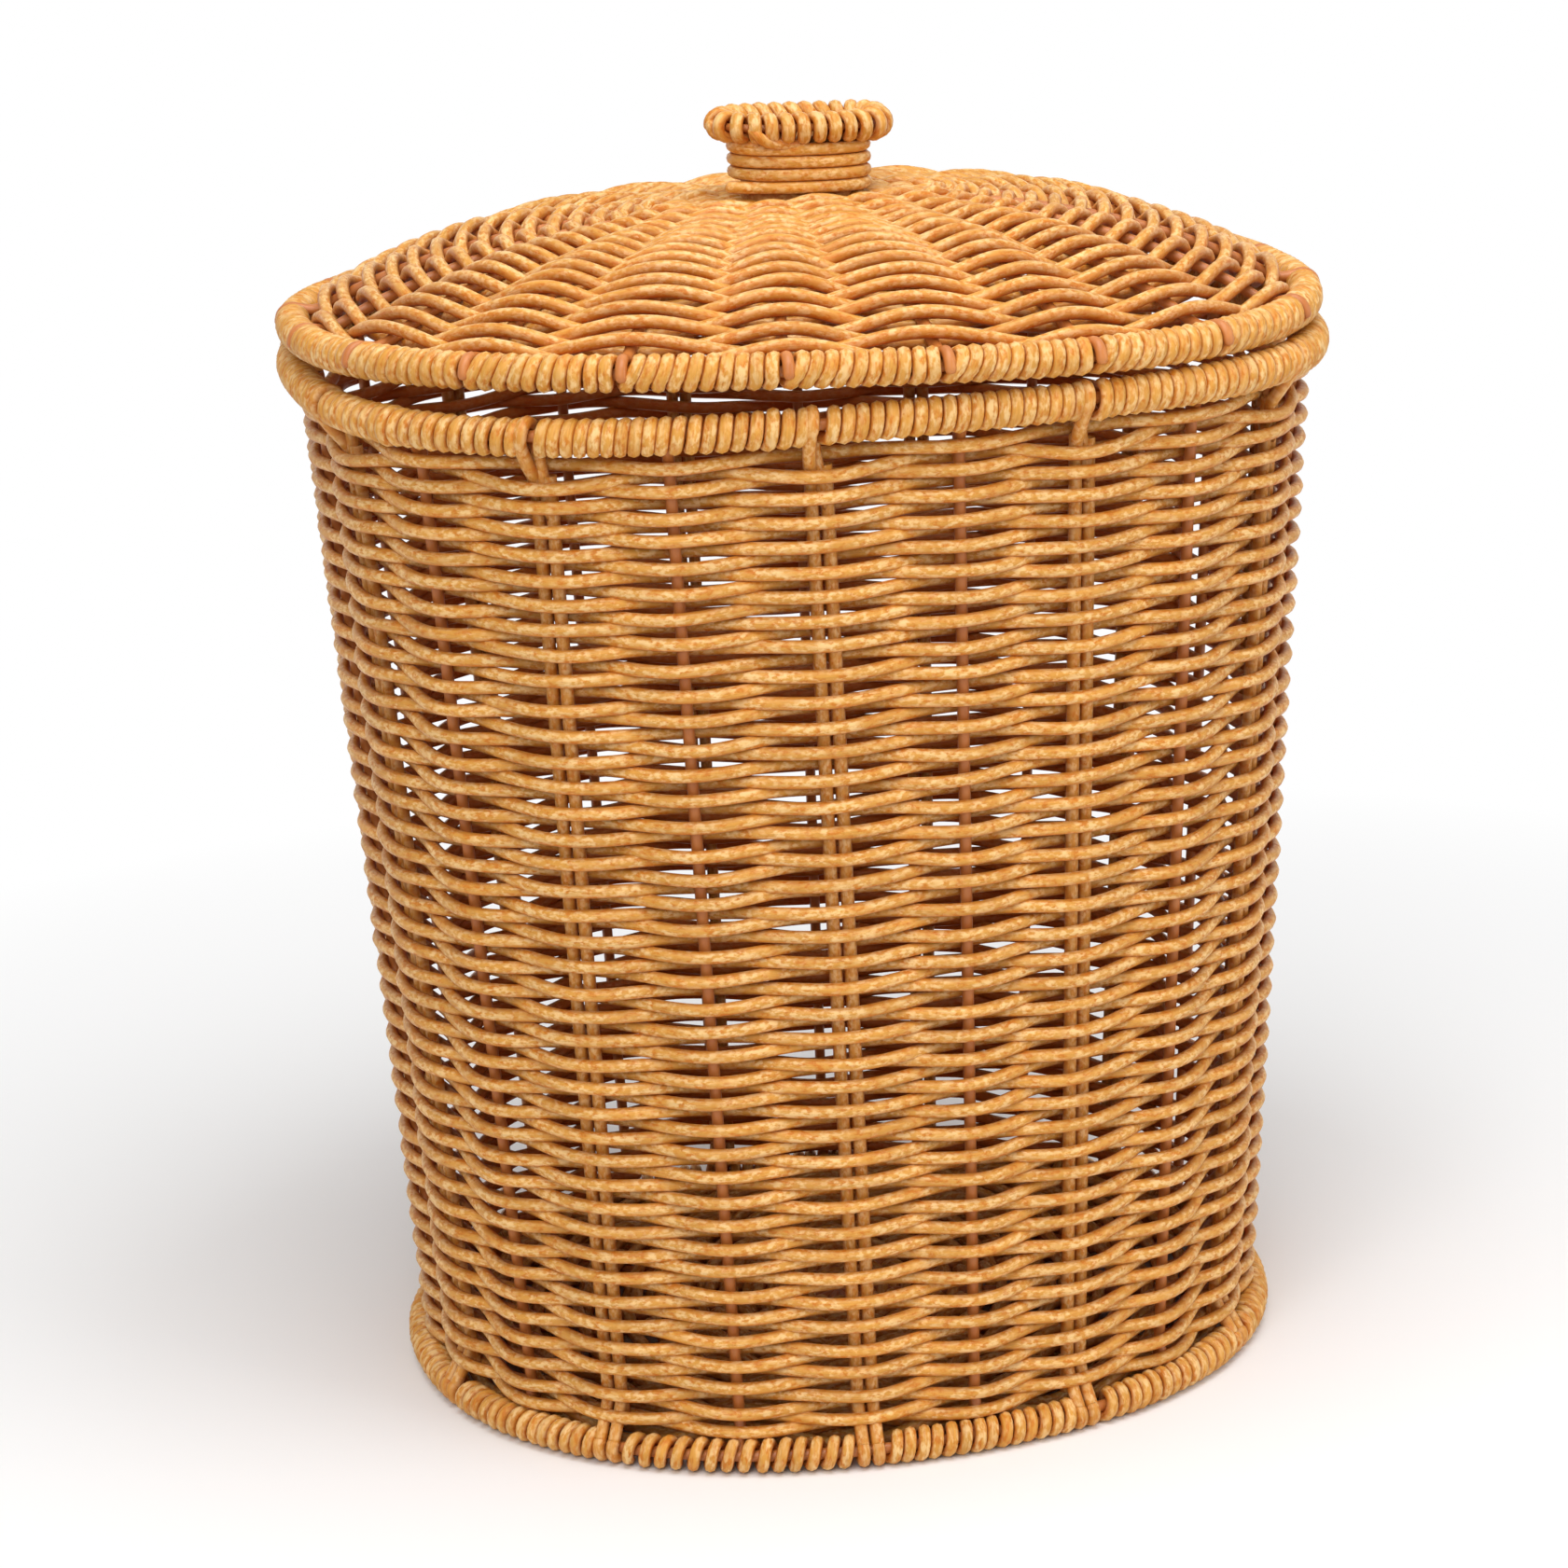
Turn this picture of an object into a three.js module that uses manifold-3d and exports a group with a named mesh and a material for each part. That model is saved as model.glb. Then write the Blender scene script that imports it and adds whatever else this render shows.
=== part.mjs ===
// An oval laundry basket of moulded rattan strand woven over coated wire, with a loose domed lid.
// Millimetres, +Z up. The origin is on the floor under the middle of the basket, +X along its long side.

import * as THREE from 'three';
import { mergeVertices } from 'three/addons/utils/BufferGeometryUtils.js';
import { ParametricGeometry } from 'three/addons/geometries/ParametricGeometry.js';
import Module from 'manifold-3d';

const wasm = await Module();
wasm.setup();

// Stock that everything is made from
const STRAND = 4.8;
const WIRE = 4.4;
const CLEARANCE = 0.3;

// Ovals that the three big hoops follow: half length, half width and squareness
const FOOT_OVAL = { a: 166.5, b: 146, power: 2.16 };
const RIM_OVAL = { a: 188, b: 154.5, power: 2.6 };
const LID_OVAL = { a: 190, b: 158.5, power: 2.36 };

// Height of the rim hoop above the floor
const RIM_HEIGHT = 400;

// Stakes of the wall: every second one is a wire, the others are a folded strand with two legs.
// The setback brings the humps of the weave level with the hoops.
const STAKE_COUNT = 22;
const STAKE_PHASE = 0.79;
const STAKE_SETBACK = 1.7;
const LEG_SPACE = 0.6;
const STAKE_RISE = 2;

// Floor: a welded spider of wire spokes inside a woven plate
const SPIDER_HUB_RADIUS = 12;

// Lid: a domed weave over wire ribs, on a hoop that is bowed up at one side. The ribs start along a spine
// and spread at its long sides, by the fan.
const RIB_COUNT = 20;
const RIB_PHASE = 0.2;
const RIB_START_SPACE = 1;
const RIB_FAN = 0.37;
const SPINE_HALF_LENGTH = 58;
const SPINE_SPACE = 1.3;
const SPINE_POWER = 2.3;
const LID_BOW = 8.5;
const LID_BOW_ANGLE = -130;
const DOME_RISE = 36.8;
const DOME_POWER = 2.8;
const DOME_EDGE_SPACE = 3.5;
const DOME_EDGE_LIFT = 1.5;

// Knob: an oval core with a strand wound round it, under a small wrapped ring, a little off the lid's middle
const KNOB_SHIFT = 2.5;
const NECK_OVAL = { a: 23, b: 11.2, power: 2.4 };
const NECK_TURNS = 4;
const WINDING_SPACE = 0.45;
const NECK_FLANGE = 6;
const NECK_FLANGE_THICKNESS = 2.4;
const KNOB_OVAL = { a: 30, b: 14.5, power: 2.6 };
const KNOB_WIRE = 3;
const KNOB_STRAND = 4.3;
const KNOB_TURNS = 23;

// Fineness of the round shapes
const RING_STEPS = 32;
const RING_SIDES = 8;
const WIRE_SIDES = 6;
const RIB_SIDES = 5;
const DOME_STEPS = 4;
const KNOB_STEPS = 24;
const FOLD_STEPS = 4;
const TURN_STEPS = 20;
const KNOB_TURN_STEPS = 8;
const KNOB_STRAND_SIDES = 5;
const HUMP_HALF_WIDTH = 0.15;
const HUMP_FULL_FROM = 0.5;
const RIB_BEND_START = 120;
const RIB_BEND_STEP = 40;

// Sizes that follow from those above. A weave is one strand thick where two strands cross between two stakes,
// and swells over a stake, where one passes before it and one behind. A hump's half width is in stakes.
const WEAVE_THICKNESS = 2 * STRAND;
const WEAVE_SWING = (STRAND + WIRE) / 2;
const VALLEY_HALF = STRAND / 2;
const HUMP_HALF = STRAND / 2 + WEAVE_SWING;
const RING_RADIUS = WIRE / 2 + STRAND;
const RING_HALF_HEIGHT = RING_RADIUS * Math.cos(Math.PI / RING_SIDES);
const FOOT_HEIGHT = RING_HALF_HEIGHT;
const LID_HEIGHT = RIM_HEIGHT + 2 * RING_HALF_HEIGHT + CLEARANCE;
const STAKE_INSET = WIRE / 2 + CLEARANCE + STRAND / 2 + STAKE_SETBACK;
const FLOOR_INSET = STAKE_INSET + STRAND / 2 + CLEARANCE;
const LEG_OFFSET = (STRAND + LEG_SPACE) / 2;
const WALL_BOTTOM = FOOT_HEIGHT + RING_HALF_HEIGHT + CLEARANCE;
const WALL_TOP = RIM_HEIGHT - RING_HALF_HEIGHT - CLEARANCE;
const DOME_EDGE_INSET = RING_RADIUS + DOME_EDGE_SPACE;
const SPINE_OVAL = { a: SPINE_HALF_LENGTH, b: NECK_OVAL.b + NECK_FLANGE + SPINE_SPACE, power: SPINE_POWER };
const DOME_TOP = LID_HEIGHT + DOME_EDGE_LIFT + DOME_RISE + WEAVE_THICKNESS / 2;
const NECK_PITCH = KNOB_STRAND + WINDING_SPACE;
const NECK_BOTTOM = DOME_TOP + CLEARANCE;
const NECK_LAST_TURN = NECK_BOTTOM + NECK_TURNS * NECK_PITCH + KNOB_STRAND / 2;
const NECK_TURN_GROW = CLEARANCE + KNOB_STRAND / 2;
const KNOB_COIL_RADIUS = KNOB_WIRE / 2 + CLEARANCE + KNOB_STRAND / 2;

// The knob's ring nests on the last turn of the neck, which lies a little inside it
const KNOB_SEAT_REACH = KNOB_COIL_RADIUS + KNOB_STRAND + CLEARANCE;
const KNOB_SEAT_INSET = KNOB_OVAL.a - NECK_OVAL.a - NECK_TURN_GROW;
const KNOB_HEIGHT = NECK_LAST_TURN + Math.sqrt(KNOB_SEAT_REACH ** 2 - KNOB_SEAT_INSET ** 2);

// Finishes
const finish = (color, roughness) => new THREE.MeshStandardMaterial({ color, roughness, metalness: 0 });
const honeyStrand = () => finish(0xd9a050, 0.45);
const shadedStrand = () => finish(0xc98c3e, 0.5);
const brownWire = () => finish(0x9a4f26, 0.4);

// A closed superellipse in the XY plane
class Oval extends THREE.Curve {
  constructor({ a, b, power }) {
    super();
    this.a = a;
    this.b = b;
    this.exponent = 2 / power;
    this.arcLengthDivisions = 1440;
  }

  getPoint(t, target = new THREE.Vector3()) {
    const c = Math.cos(2 * Math.PI * t);
    const s = Math.sin(2 * Math.PI * t);
    const x = this.a * Math.sign(c) * Math.abs(c) ** this.exponent;
    const y = this.b * Math.sign(s) * Math.abs(s) ** this.exponent;
    return target.set(x, y, 0);
  }
}

// An open route of straight stretches whose section steps fall exactly on its points
class Route extends THREE.Curve {
  constructor(points) {
    super();
    this.points = points;
  }

  getUtoTmapping(u) {
    return u;
  }

  getPoint(t, target = new THREE.Vector3()) {
    const place = t * (this.points.length - 1);
    const i = Math.min(Math.floor(place), this.points.length - 2);
    return target.lerpVectors(this.points[i], this.points[i + 1], place - i);
  }

  getTangent(t, target = new THREE.Vector3()) {
    const i = Math.round(t * (this.points.length - 1));
    target.set(0, 0, 0);
    for (const j of [i, i + 1]) {
      if (j < 1 || j > this.points.length - 1) continue;
      target.add(this.points[j].clone().sub(this.points[j - 1]).normalize());
    }
    return target.normalize();
  }
}

// A closed mesh as a solid that can be joined and cut, with its faces turned out
function solidOf(geometry) {
  const bare = geometry.clone();
  bare.deleteAttribute('normal');
  bare.deleteAttribute('uv');
  const merged = mergeVertices(bare, 1e-4);
  const corners = merged.getAttribute('position').array;
  const triangles = [];
  let volume = 0;
  const index = merged.index.array;
  for (let i = 0; i < index.length; i += 3) {
    const [p, q, r] = [index[i], index[i + 1], index[i + 2]];
    if (p === q || q === r || r === p) continue;
    triangles.push(p, q, r);
    const [a, b, c] = [p, q, r].map((k) => new THREE.Vector3().fromArray(corners, 3 * k));
    volume += a.dot(b.cross(c));
  }
  if (volume < 0) triangles.reverse();
  return new wasm.Manifold(new wasm.Mesh({
    numProp: 3,
    vertProperties: Float32Array.from(corners),
    triVerts: Uint32Array.from(triangles),
  }));
}

// A solid back as a geometry
function geometryOf(solid) {
  const mesh = solid.getMesh();
  const geometry = new THREE.BufferGeometry();
  geometry.setAttribute('position', new THREE.BufferAttribute(Float32Array.from(mesh.vertProperties), 3));
  geometry.setIndex(new THREE.BufferAttribute(Uint32Array.from(mesh.triVerts), 1));
  geometry.computeVertexNormals();
  return geometry;
}

// One solid with all the others cut out of it
function cutAll(body, tools) {
  let left = body;
  for (const tool of tools) left = left.subtract(tool);
  return left;
}

// A closed band whose sections each hold the same number of points, round and round
function bandOf(sections) {
  const across = sections[0].length;
  return new ParametricGeometry((u, v, target) => {
    const i = Math.round(u * sections.length) % sections.length;
    const j = Math.round(v * across) % across;
    target.copy(sections[i][j]);
  }, sections.length, across);
}

// A round bar along a route
function barOf(points, diameter, sides = WIRE_SIDES) {
  const corners = [];
  for (let k = 0; k < sides; k += 1) {
    const angle = (2 * Math.PI * k) / sides;
    corners.push(new THREE.Vector2(Math.cos(angle), Math.sin(angle)).multiplyScalar(diameter / 2));
  }
  const steps = points.length - 1;
  const extrudePath = new Route(points);
  return new THREE.ExtrudeGeometry(new THREE.Shape(corners), { steps, bevelEnabled: false, extrudePath });
}

// The bar that cuts a bore for another, however the corners of the two are turned
function boreOf(points, diameter, sides = WIRE_SIDES) {
  return barOf(points, (diameter + 2 * CLEARANCE) / Math.cos(Math.PI / sides), sides);
}

// An oval plate between two heights
function plateOf({ a, b, power }, grow, bottom, top, steps) {
  const oval = new Oval({ a: a + grow, b: b + grow, power });
  const corners = [];
  for (let i = 0; i < steps; i += 1) {
    const point = oval.getPointAt(i / steps);
    corners.push(new THREE.Vector2(point.x, point.y));
  }
  const depth = top - bottom;
  const plate = new THREE.ExtrudeGeometry(new THREE.Shape(corners), { depth, bevelEnabled: false });
  return plate.translate(0, 0, bottom);
}

// The stations of an oval hoop: its points, its outward directions and its height at each
class Hoop {
  constructor(shape, heightAt, steps = RING_STEPS) {
    const oval = new Oval(shape);
    this.steps = steps;
    this.stations = [];
    for (let i = 0; i < steps; i += 1) {
      const point = oval.getPointAt(i / steps);
      const along = oval.getTangentAt(i / steps);
      point.z = heightAt(Math.atan2(point.y, point.x));
      this.stations.push({ point, out: new THREE.Vector3(along.y, -along.x, 0) });
    }
  }

  // A point beside the hoop at a share of the way round, so far out of it and so far above it
  beside(share, out, up) {
    const place = (((share % 1) + 1) % 1) * this.steps;
    const i = Math.floor(place);
    const [from, to] = [this.stations[i], this.stations[(i + 1) % this.steps]].map(
      (station) => station.point.clone().addScaledVector(station.out, out),
    );
    const point = from.lerp(to, place - i);
    point.z += up;
    return point;
  }

  // The level direction along the hoop at a share of the way round, square to the way out of it
  along(share) {
    const out = this.beside(share, 1, 0).sub(this.beside(share, 0, 0));
    return new THREE.Vector3(-out.y, out.x, 0).normalize();
  }

  // A round tube all the way round
  tube(radius, sides) {
    return bandOf(this.stations.map((station) => {
      const section = [];
      for (let k = 0; k < sides; k += 1) {
        const angle = (2 * Math.PI * (k + 0.5)) / sides - Math.PI / 2;
        const corner = station.point.clone().addScaledVector(station.out, radius * Math.cos(angle));
        corner.z += radius * Math.sin(angle);
        section.push(corner);
      }
      return section;
    }));
  }

  // A block beside the hoop, to cut a pocket with
  block(share, halfWidth, outFrom, outTo, upFrom, upTo) {
    const along = this.along(share);
    const out = new THREE.Vector3(along.y, -along.x, 0);
    const centre = this.beside(share, (outFrom + outTo) / 2, (upFrom + upTo) / 2);
    const block = new THREE.BoxGeometry(2 * halfWidth, outTo - outFrom, upTo - upFrom);
    const turn = new THREE.Matrix4().makeBasis(along.negate(), out, new THREE.Vector3(0, 0, 1));
    return block.applyMatrix4(turn.setPosition(centre));
  }
}

// The lid's hoop lies level on the rim, and rises smoothly on the side of its bow
function bowAt(angle) {
  const towards = Math.cos(angle - THREE.MathUtils.degToRad(LID_BOW_ANGLE));
  return LID_BOW * Math.max(0, towards) ** 2;
}

const foot = new Hoop(FOOT_OVAL, () => FOOT_HEIGHT);
const rim = new Hoop(RIM_OVAL, () => RIM_HEIGHT);
const lidHoop = new Hoop(LID_OVAL, (angle) => LID_HEIGHT + bowAt(angle));

// The wrapping of a hoop: a sleeve as thick as the strand, with pockets cut to the hoop
function wrapping(hoop, tools) {
  const sleeve = solidOf(hoop.tube(RING_RADIUS, RING_SIDES));
  const bore = solidOf(hoop.tube(WIRE / 2 + CLEARANCE, WIRE_SIDES));
  return geometryOf(cutAll(sleeve, [bore, ...tools]));
}

// Stakes of the wall
const stakeShare = (index) => (index + STAKE_PHASE) / STAKE_COUNT;
const isWire = (index) => index % 2 === 0;

// A point in the middle of the wall's thickness, moved along the wall and out of it
function wallPoint(share, height, along, out) {
  const low = foot.beside(share, out - STAKE_INSET, 0).addScaledVector(foot.along(share), along);
  const high = rim.beside(share, out - STAKE_INSET, 0).addScaledVector(rim.along(share), along);
  return low.lerp(high, (height - FOOT_HEIGHT) / (RIM_HEIGHT - FOOT_HEIGHT));
}

const stakeBottom = FOOT_HEIGHT - STAKE_RISE;
const stakeTop = RIM_HEIGHT + STAKE_RISE;

// A wire stake is straight, and a folded strand runs up one leg, over and down the other
function stakeRoute(index) {
  const share = stakeShare(index);
  if (isWire(index)) return [wallPoint(share, stakeBottom, 0, 0), wallPoint(share, stakeTop, 0, 0)];
  const route = [wallPoint(share, stakeBottom, -LEG_OFFSET, 0)];
  const foldHeight = stakeTop - LEG_OFFSET - STRAND / 2;
  for (let k = 0; k <= FOLD_STEPS; k += 1) {
    const angle = Math.PI * (1 - k / FOLD_STEPS);
    const height = foldHeight + LEG_OFFSET * Math.sin(angle);
    route.push(wallPoint(share, height, LEG_OFFSET * Math.cos(angle), 0));
  }
  route.push(wallPoint(share, stakeBottom, LEG_OFFSET, 0));
  return route;
}

// The bores that a stake needs in the weave, one for each leg
function stakeBores(index) {
  const share = stakeShare(index);
  const legs = isWire(index) ? [0] : [-LEG_OFFSET, LEG_OFFSET];
  const ends = [WALL_BOTTOM - STRAND, WALL_TOP + STRAND];
  return legs.map((leg) => {
    const route = ends.map((height) => wallPoint(share, height, leg, 0));
    return solidOf(boreOf(route, isWire(index) ? WIRE : STRAND));
  });
}

// The pocket that a stake's end needs in the wrapping of a hoop, above or below the hoop
function stakePocket(hoop, index, side) {
  const halfWidth = CLEARANCE + (isWire(index) ? WIRE / 2 : LEG_OFFSET + STRAND / 2);
  const reach = 2 * RING_RADIUS;
  const past = STAKE_RISE + CLEARANCE;
  const [from, to] = side === 'below' ? [-reach, past] : [-past, reach];
  return solidOf(hoop.block(stakeShare(index), halfWidth, -reach, -CLEARANCE, from, to));
}

const stakeIndexes = Array.from({ length: STAKE_COUNT }, (_, index) => index);

// The stations of a fluted weave: the two shoulders of the hump over each stake, and the valley after it
function fluteStations(count, shareOf) {
  const stations = [];
  for (let index = 0; index < count; index += 1) {
    stations.push({ share: shareOf(index - HUMP_HALF_WIDTH), half: HUMP_HALF });
    stations.push({ share: shareOf(index + HUMP_HALF_WIDTH), half: HUMP_HALF });
    stations.push({ share: shareOf(index + 0.5), half: VALLEY_HALF });
  }
  return stations;
}

// The wall's weave is a leaning fluted shell, bored for the stakes
function wallWeave() {
  const sections = fluteStations(STAKE_COUNT, stakeShare).map(({ share, half }) => [
    wallPoint(share, WALL_BOTTOM, 0, half),
    wallPoint(share, WALL_TOP, 0, half),
    wallPoint(share, WALL_TOP, 0, -half),
    wallPoint(share, WALL_BOTTOM, 0, -half),
  ]);
  return geometryOf(cutAll(solidOf(bandOf(sections)), stakeIndexes.flatMap(stakeBores)));
}

// A spoke of the floor meets the foot of every wire stake
const spokeShares = stakeIndexes.filter(isWire).map(stakeShare);
const spokeReach = STAKE_INSET + WIRE / 2 + CLEARANCE;

// The welded spider, drawn larger and longer where it serves to cut its own bed
function spider(grow, past) {
  let star = solidOf(new THREE.CylinderGeometry(
    SPIDER_HUB_RADIUS + grow,
    SPIDER_HUB_RADIUS + grow,
    WIRE + 2 * grow,
    2 * WIRE_SIDES,
  ).rotateX(Math.PI / 2).translate(0, 0, FOOT_HEIGHT));
  for (const share of spokeShares) {
    const centre = new THREE.Vector3(0, 0, FOOT_HEIGHT);
    const end = foot.beside(share, -spokeReach, 0);
    const outward = end.clone().sub(centre).normalize();
    star = star.add(solidOf(barOf([centre, end.addScaledVector(outward, past)], WIRE + 2 * grow)));
  }
  return star;
}

// The floor's weave is a plate inside the foot, with the spider bedded in its middle
function floorWeave() {
  const bottom = FOOT_HEIGHT - WEAVE_THICKNESS / 2;
  const plate = plateOf(FOOT_OVAL, -FLOOR_INSET, bottom, bottom + WEAVE_THICKNESS, RING_STEPS);
  return geometryOf(solidOf(plate).subtract(spider(CLEARANCE, STRAND)));
}

const neckHole = new Hoop({
  a: NECK_OVAL.a + CLEARANCE,
  b: NECK_OVAL.b + CLEARANCE,
  power: NECK_OVAL.power,
}, () => 0);

const spine = new Hoop(SPINE_OVAL, () => 0);

// A point of the plan lifted to the dome, so far above the middle of its weave
function onDome(point, above) {
  const across = (Math.abs(point.x) / (LID_OVAL.a - DOME_EDGE_INSET)) ** LID_OVAL.power;
  const deep = (Math.abs(point.y) / (LID_OVAL.b - DOME_EDGE_INSET)) ** LID_OVAL.power;
  const radius = (across + deep) ** (1 / LID_OVAL.power);
  const bow = bowAt(Math.atan2(point.y, point.x)) * radius ** 2;
  return point.setZ(LID_HEIGHT + DOME_EDGE_LIFT + DOME_RISE * (1 - radius ** DOME_POWER) + bow + above);
}

// A point in the dome: so far from the spine to its edge, at a share of the way round the edge
function domePoint(outward, share, above) {
  const fanned = share - (RIB_FAN * Math.sin(4 * Math.PI * share)) / (4 * Math.PI);
  const edge = lidHoop.beside(share, -DOME_EDGE_INSET, 0);
  return onDome(spine.beside(fanned, 0, 0).lerp(edge, outward), above);
}

// A point at the neck's hole, inside the spine
function collarPoint(share, above) {
  const point = neckHole.beside(share, 0, 0);
  return onDome(point.setX(point.x + KNOB_SHIFT), above);
}

// A rib runs down the middle of the dome, over the hoop and ends half way down its outside
const ribShare = (index) => (index + RIB_PHASE) / RIB_COUNT;
const ribBendRadius = (WIRE + CLEARANCE) / Math.cos(THREE.MathUtils.degToRad(RIB_BEND_STEP / 2));

function ribRoute(index, startPast, endPast) {
  const share = ribShare(index);
  const route = [];
  for (let k = 0; k <= DOME_STEPS; k += 1) route.push(domePoint(k / DOME_STEPS, share, 0));
  const inward = route[0].clone().sub(route[1]).normalize();
  route[0].addScaledVector(inward, startPast);
  for (let degrees = RIB_BEND_START; degrees >= 0; degrees -= RIB_BEND_STEP) {
    const angle = THREE.MathUtils.degToRad(degrees);
    route.push(lidHoop.beside(share, ribBendRadius * Math.cos(angle), ribBendRadius * Math.sin(angle)));
  }
  route[route.length - 1].z -= endPast;
  return route;
}

const ribIndexes = Array.from({ length: RIB_COUNT }, (_, index) => index);
const ribBeds = ribIndexes.map((index) => {
  return solidOf(boreOf(ribRoute(index, STRAND, CLEARANCE), WIRE, RIB_SIDES));
});

// The notch that a rib needs in the wrapping, from inside the hoop over its top to its outside
function ribNotch(index) {
  const reach = 2 * RING_RADIUS;
  const half = WIRE / 2 + CLEARANCE;
  return solidOf(lidHoop.block(ribShare(index), half, -reach, reach, -half, reach));
}

// The dome's weave is a shell, bored for the ribs, open at the neck and fluted from the spine outwards
function lidWeave() {
  const sections = fluteStations(RIB_COUNT, ribShare).map(({ share, half }) => {
    const section = [];
    for (const side of [1, -1]) {
      const line = [collarPoint(share, (side * WEAVE_THICKNESS) / 2)];
      for (let k = 0; k <= DOME_STEPS; k += 1) {
        const outward = k / DOME_STEPS;
        const fluted = Math.min(1, outward / HUMP_FULL_FROM);
        const above = THREE.MathUtils.lerp(WEAVE_THICKNESS / 2, half, fluted);
        line.push(domePoint(outward, share, side * above));
      }
      section.push(...(side > 0 ? line : line.reverse()));
    }
    return section;
  });
  return geometryOf(cutAll(solidOf(bandOf(sections)), ribBeds));
}

// The height where the neck's flange lies under the dome, at the end where that falls fastest
function flangeSeat() {
  const inner = collarPoint(0, -WEAVE_THICKNESS / 2);
  const next = domePoint(0, 0, -WEAVE_THICKNESS / 2);
  return inner.lerp(next, NECK_FLANGE / inner.distanceTo(next)).z - CLEARANCE;
}

// The neck's core goes through the dome and is held by a flange under it
function neckCore() {
  const flangeTop = flangeSeat();
  const flangeBottom = flangeTop - NECK_FLANGE_THICKNESS;
  const post = solidOf(plateOf(NECK_OVAL, 0, flangeBottom, NECK_LAST_TURN, KNOB_STEPS));
  const flange = solidOf(plateOf(NECK_OVAL, NECK_FLANGE, flangeBottom, flangeTop, KNOB_STEPS));
  return geometryOf(post.add(flange));
}

// The neck's winding: a helix round the core
function neckWinding() {
  const oval = new Oval({
    a: NECK_OVAL.a + NECK_TURN_GROW,
    b: NECK_OVAL.b + NECK_TURN_GROW,
    power: NECK_OVAL.power,
  });
  const route = [];
  for (let i = 0; i <= NECK_TURNS * TURN_STEPS; i += 1) {
    const turn = i / TURN_STEPS;
    const point = oval.getPointAt((turn + 0.5) % 1);
    point.z = NECK_BOTTOM + KNOB_STRAND / 2 + turn * NECK_PITCH;
    route.push(point);
  }
  return route;
}

// The knob ring's winding: a coil round the small hoop, evenly spaced along its inner side
function knobWinding() {
  const inner = new Oval({
    a: KNOB_OVAL.a - KNOB_COIL_RADIUS,
    b: KNOB_OVAL.b - KNOB_COIL_RADIUS,
    power: KNOB_OVAL.power,
  });
  const steps = KNOB_TURNS * KNOB_TURN_STEPS;
  const route = [];
  for (let i = 0; i <= steps; i += 1) {
    const share = (i / steps) * (KNOB_TURNS / (KNOB_TURNS + 1));
    const along = inner.getTangentAt(share);
    const out = new THREE.Vector3(along.y, -along.x, 0);
    const angle = (2 * Math.PI * i) / KNOB_TURN_STEPS;
    const point = inner.getPointAt(share);
    point.addScaledVector(out, KNOB_COIL_RADIUS * (1 + Math.cos(angle)));
    point.z = KNOB_HEIGHT + KNOB_COIL_RADIUS * Math.sin(angle);
    route.push(point);
  }
  return route;
}

// The least space between the turns of a winding, measured between points over half a turn apart
function leastSpace(route, diameter, turnSteps) {
  let least = Infinity;
  for (let i = 0; i < route.length; i += 1) {
    for (let j = i + Math.ceil(turnSteps / 2); j < route.length; j += 1) {
      least = Math.min(least, route[i].distanceTo(route[j]));
    }
  }
  return least - diameter;
}

function knobHoop() {
  const ring = new Hoop(KNOB_OVAL, () => KNOB_HEIGHT, KNOB_STEPS);
  return ring.tube(KNOB_WIRE / 2, WIRE_SIDES);
}

// Assembly: the basket, and the lid that lifts off it
const basket = new THREE.Group();
const lid = new THREE.Group();

function addPiece(group, name, geometry, material) {
  const piece = new THREE.Mesh(geometry, material);
  piece.name = name;
  group.add(piece);
}

const asSolid = (geometry) => geometryOf(solidOf(geometry));
const atKnob = (geometry) => geometry.translate(KNOB_SHIFT, 0, 0);
const numbered = (name, index) => `${name}_${String(index + 1).padStart(2, '0')}`;

addPiece(basket, 'foot_hoop', asSolid(foot.tube(WIRE / 2, WIRE_SIDES)), brownWire());
addPiece(basket, 'foot_wrapping', wrapping(foot, stakeIndexes.map((index) => {
  return stakePocket(foot, index, 'above');
})), honeyStrand());
addPiece(basket, 'floor_spider', geometryOf(spider(0, 0)), brownWire());
addPiece(basket, 'floor_weave', floorWeave(), shadedStrand());
addPiece(basket, 'wall_weave', wallWeave(), honeyStrand());
for (const index of stakeIndexes) {
  const half = Math.floor(index / 2);
  const name = isWire(index) ? numbered('wire_stake', half) : numbered('folded_stake', half);
  const bar = barOf(stakeRoute(index), isWire(index) ? WIRE : STRAND);
  addPiece(basket, name, asSolid(bar), isWire(index) ? brownWire() : shadedStrand());
}
addPiece(basket, 'rim_hoop', asSolid(rim.tube(WIRE / 2, WIRE_SIDES)), brownWire());
addPiece(basket, 'rim_wrapping', wrapping(rim, stakeIndexes.map((index) => {
  return stakePocket(rim, index, 'below');
})), honeyStrand());

addPiece(lid, 'lid_hoop', asSolid(lidHoop.tube(WIRE / 2, WIRE_SIDES)), brownWire());
addPiece(lid, 'lid_wrapping', wrapping(lidHoop, ribIndexes.map(ribNotch)), honeyStrand());
for (const index of ribIndexes) {
  const bar = barOf(ribRoute(index, -RIB_START_SPACE, 0), WIRE, RIB_SIDES);
  addPiece(lid, numbered('lid_rib', index), asSolid(bar), brownWire());
}
addPiece(lid, 'lid_weave', lidWeave(), honeyStrand());
addPiece(lid, 'knob_neck_core', atKnob(neckCore()), shadedStrand());
const neckRoute = neckWinding();
addPiece(lid, 'knob_neck_winding', atKnob(asSolid(barOf(neckRoute, KNOB_STRAND))), honeyStrand());
addPiece(lid, 'knob_ring_hoop', atKnob(asSolid(knobHoop())), brownWire());
const knobRoute = knobWinding();
const knobCoil = barOf(knobRoute, KNOB_STRAND, KNOB_STRAND_SIDES);
addPiece(lid, 'knob_ring_winding', atKnob(asSolid(knobCoil)), honeyStrand());

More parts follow.
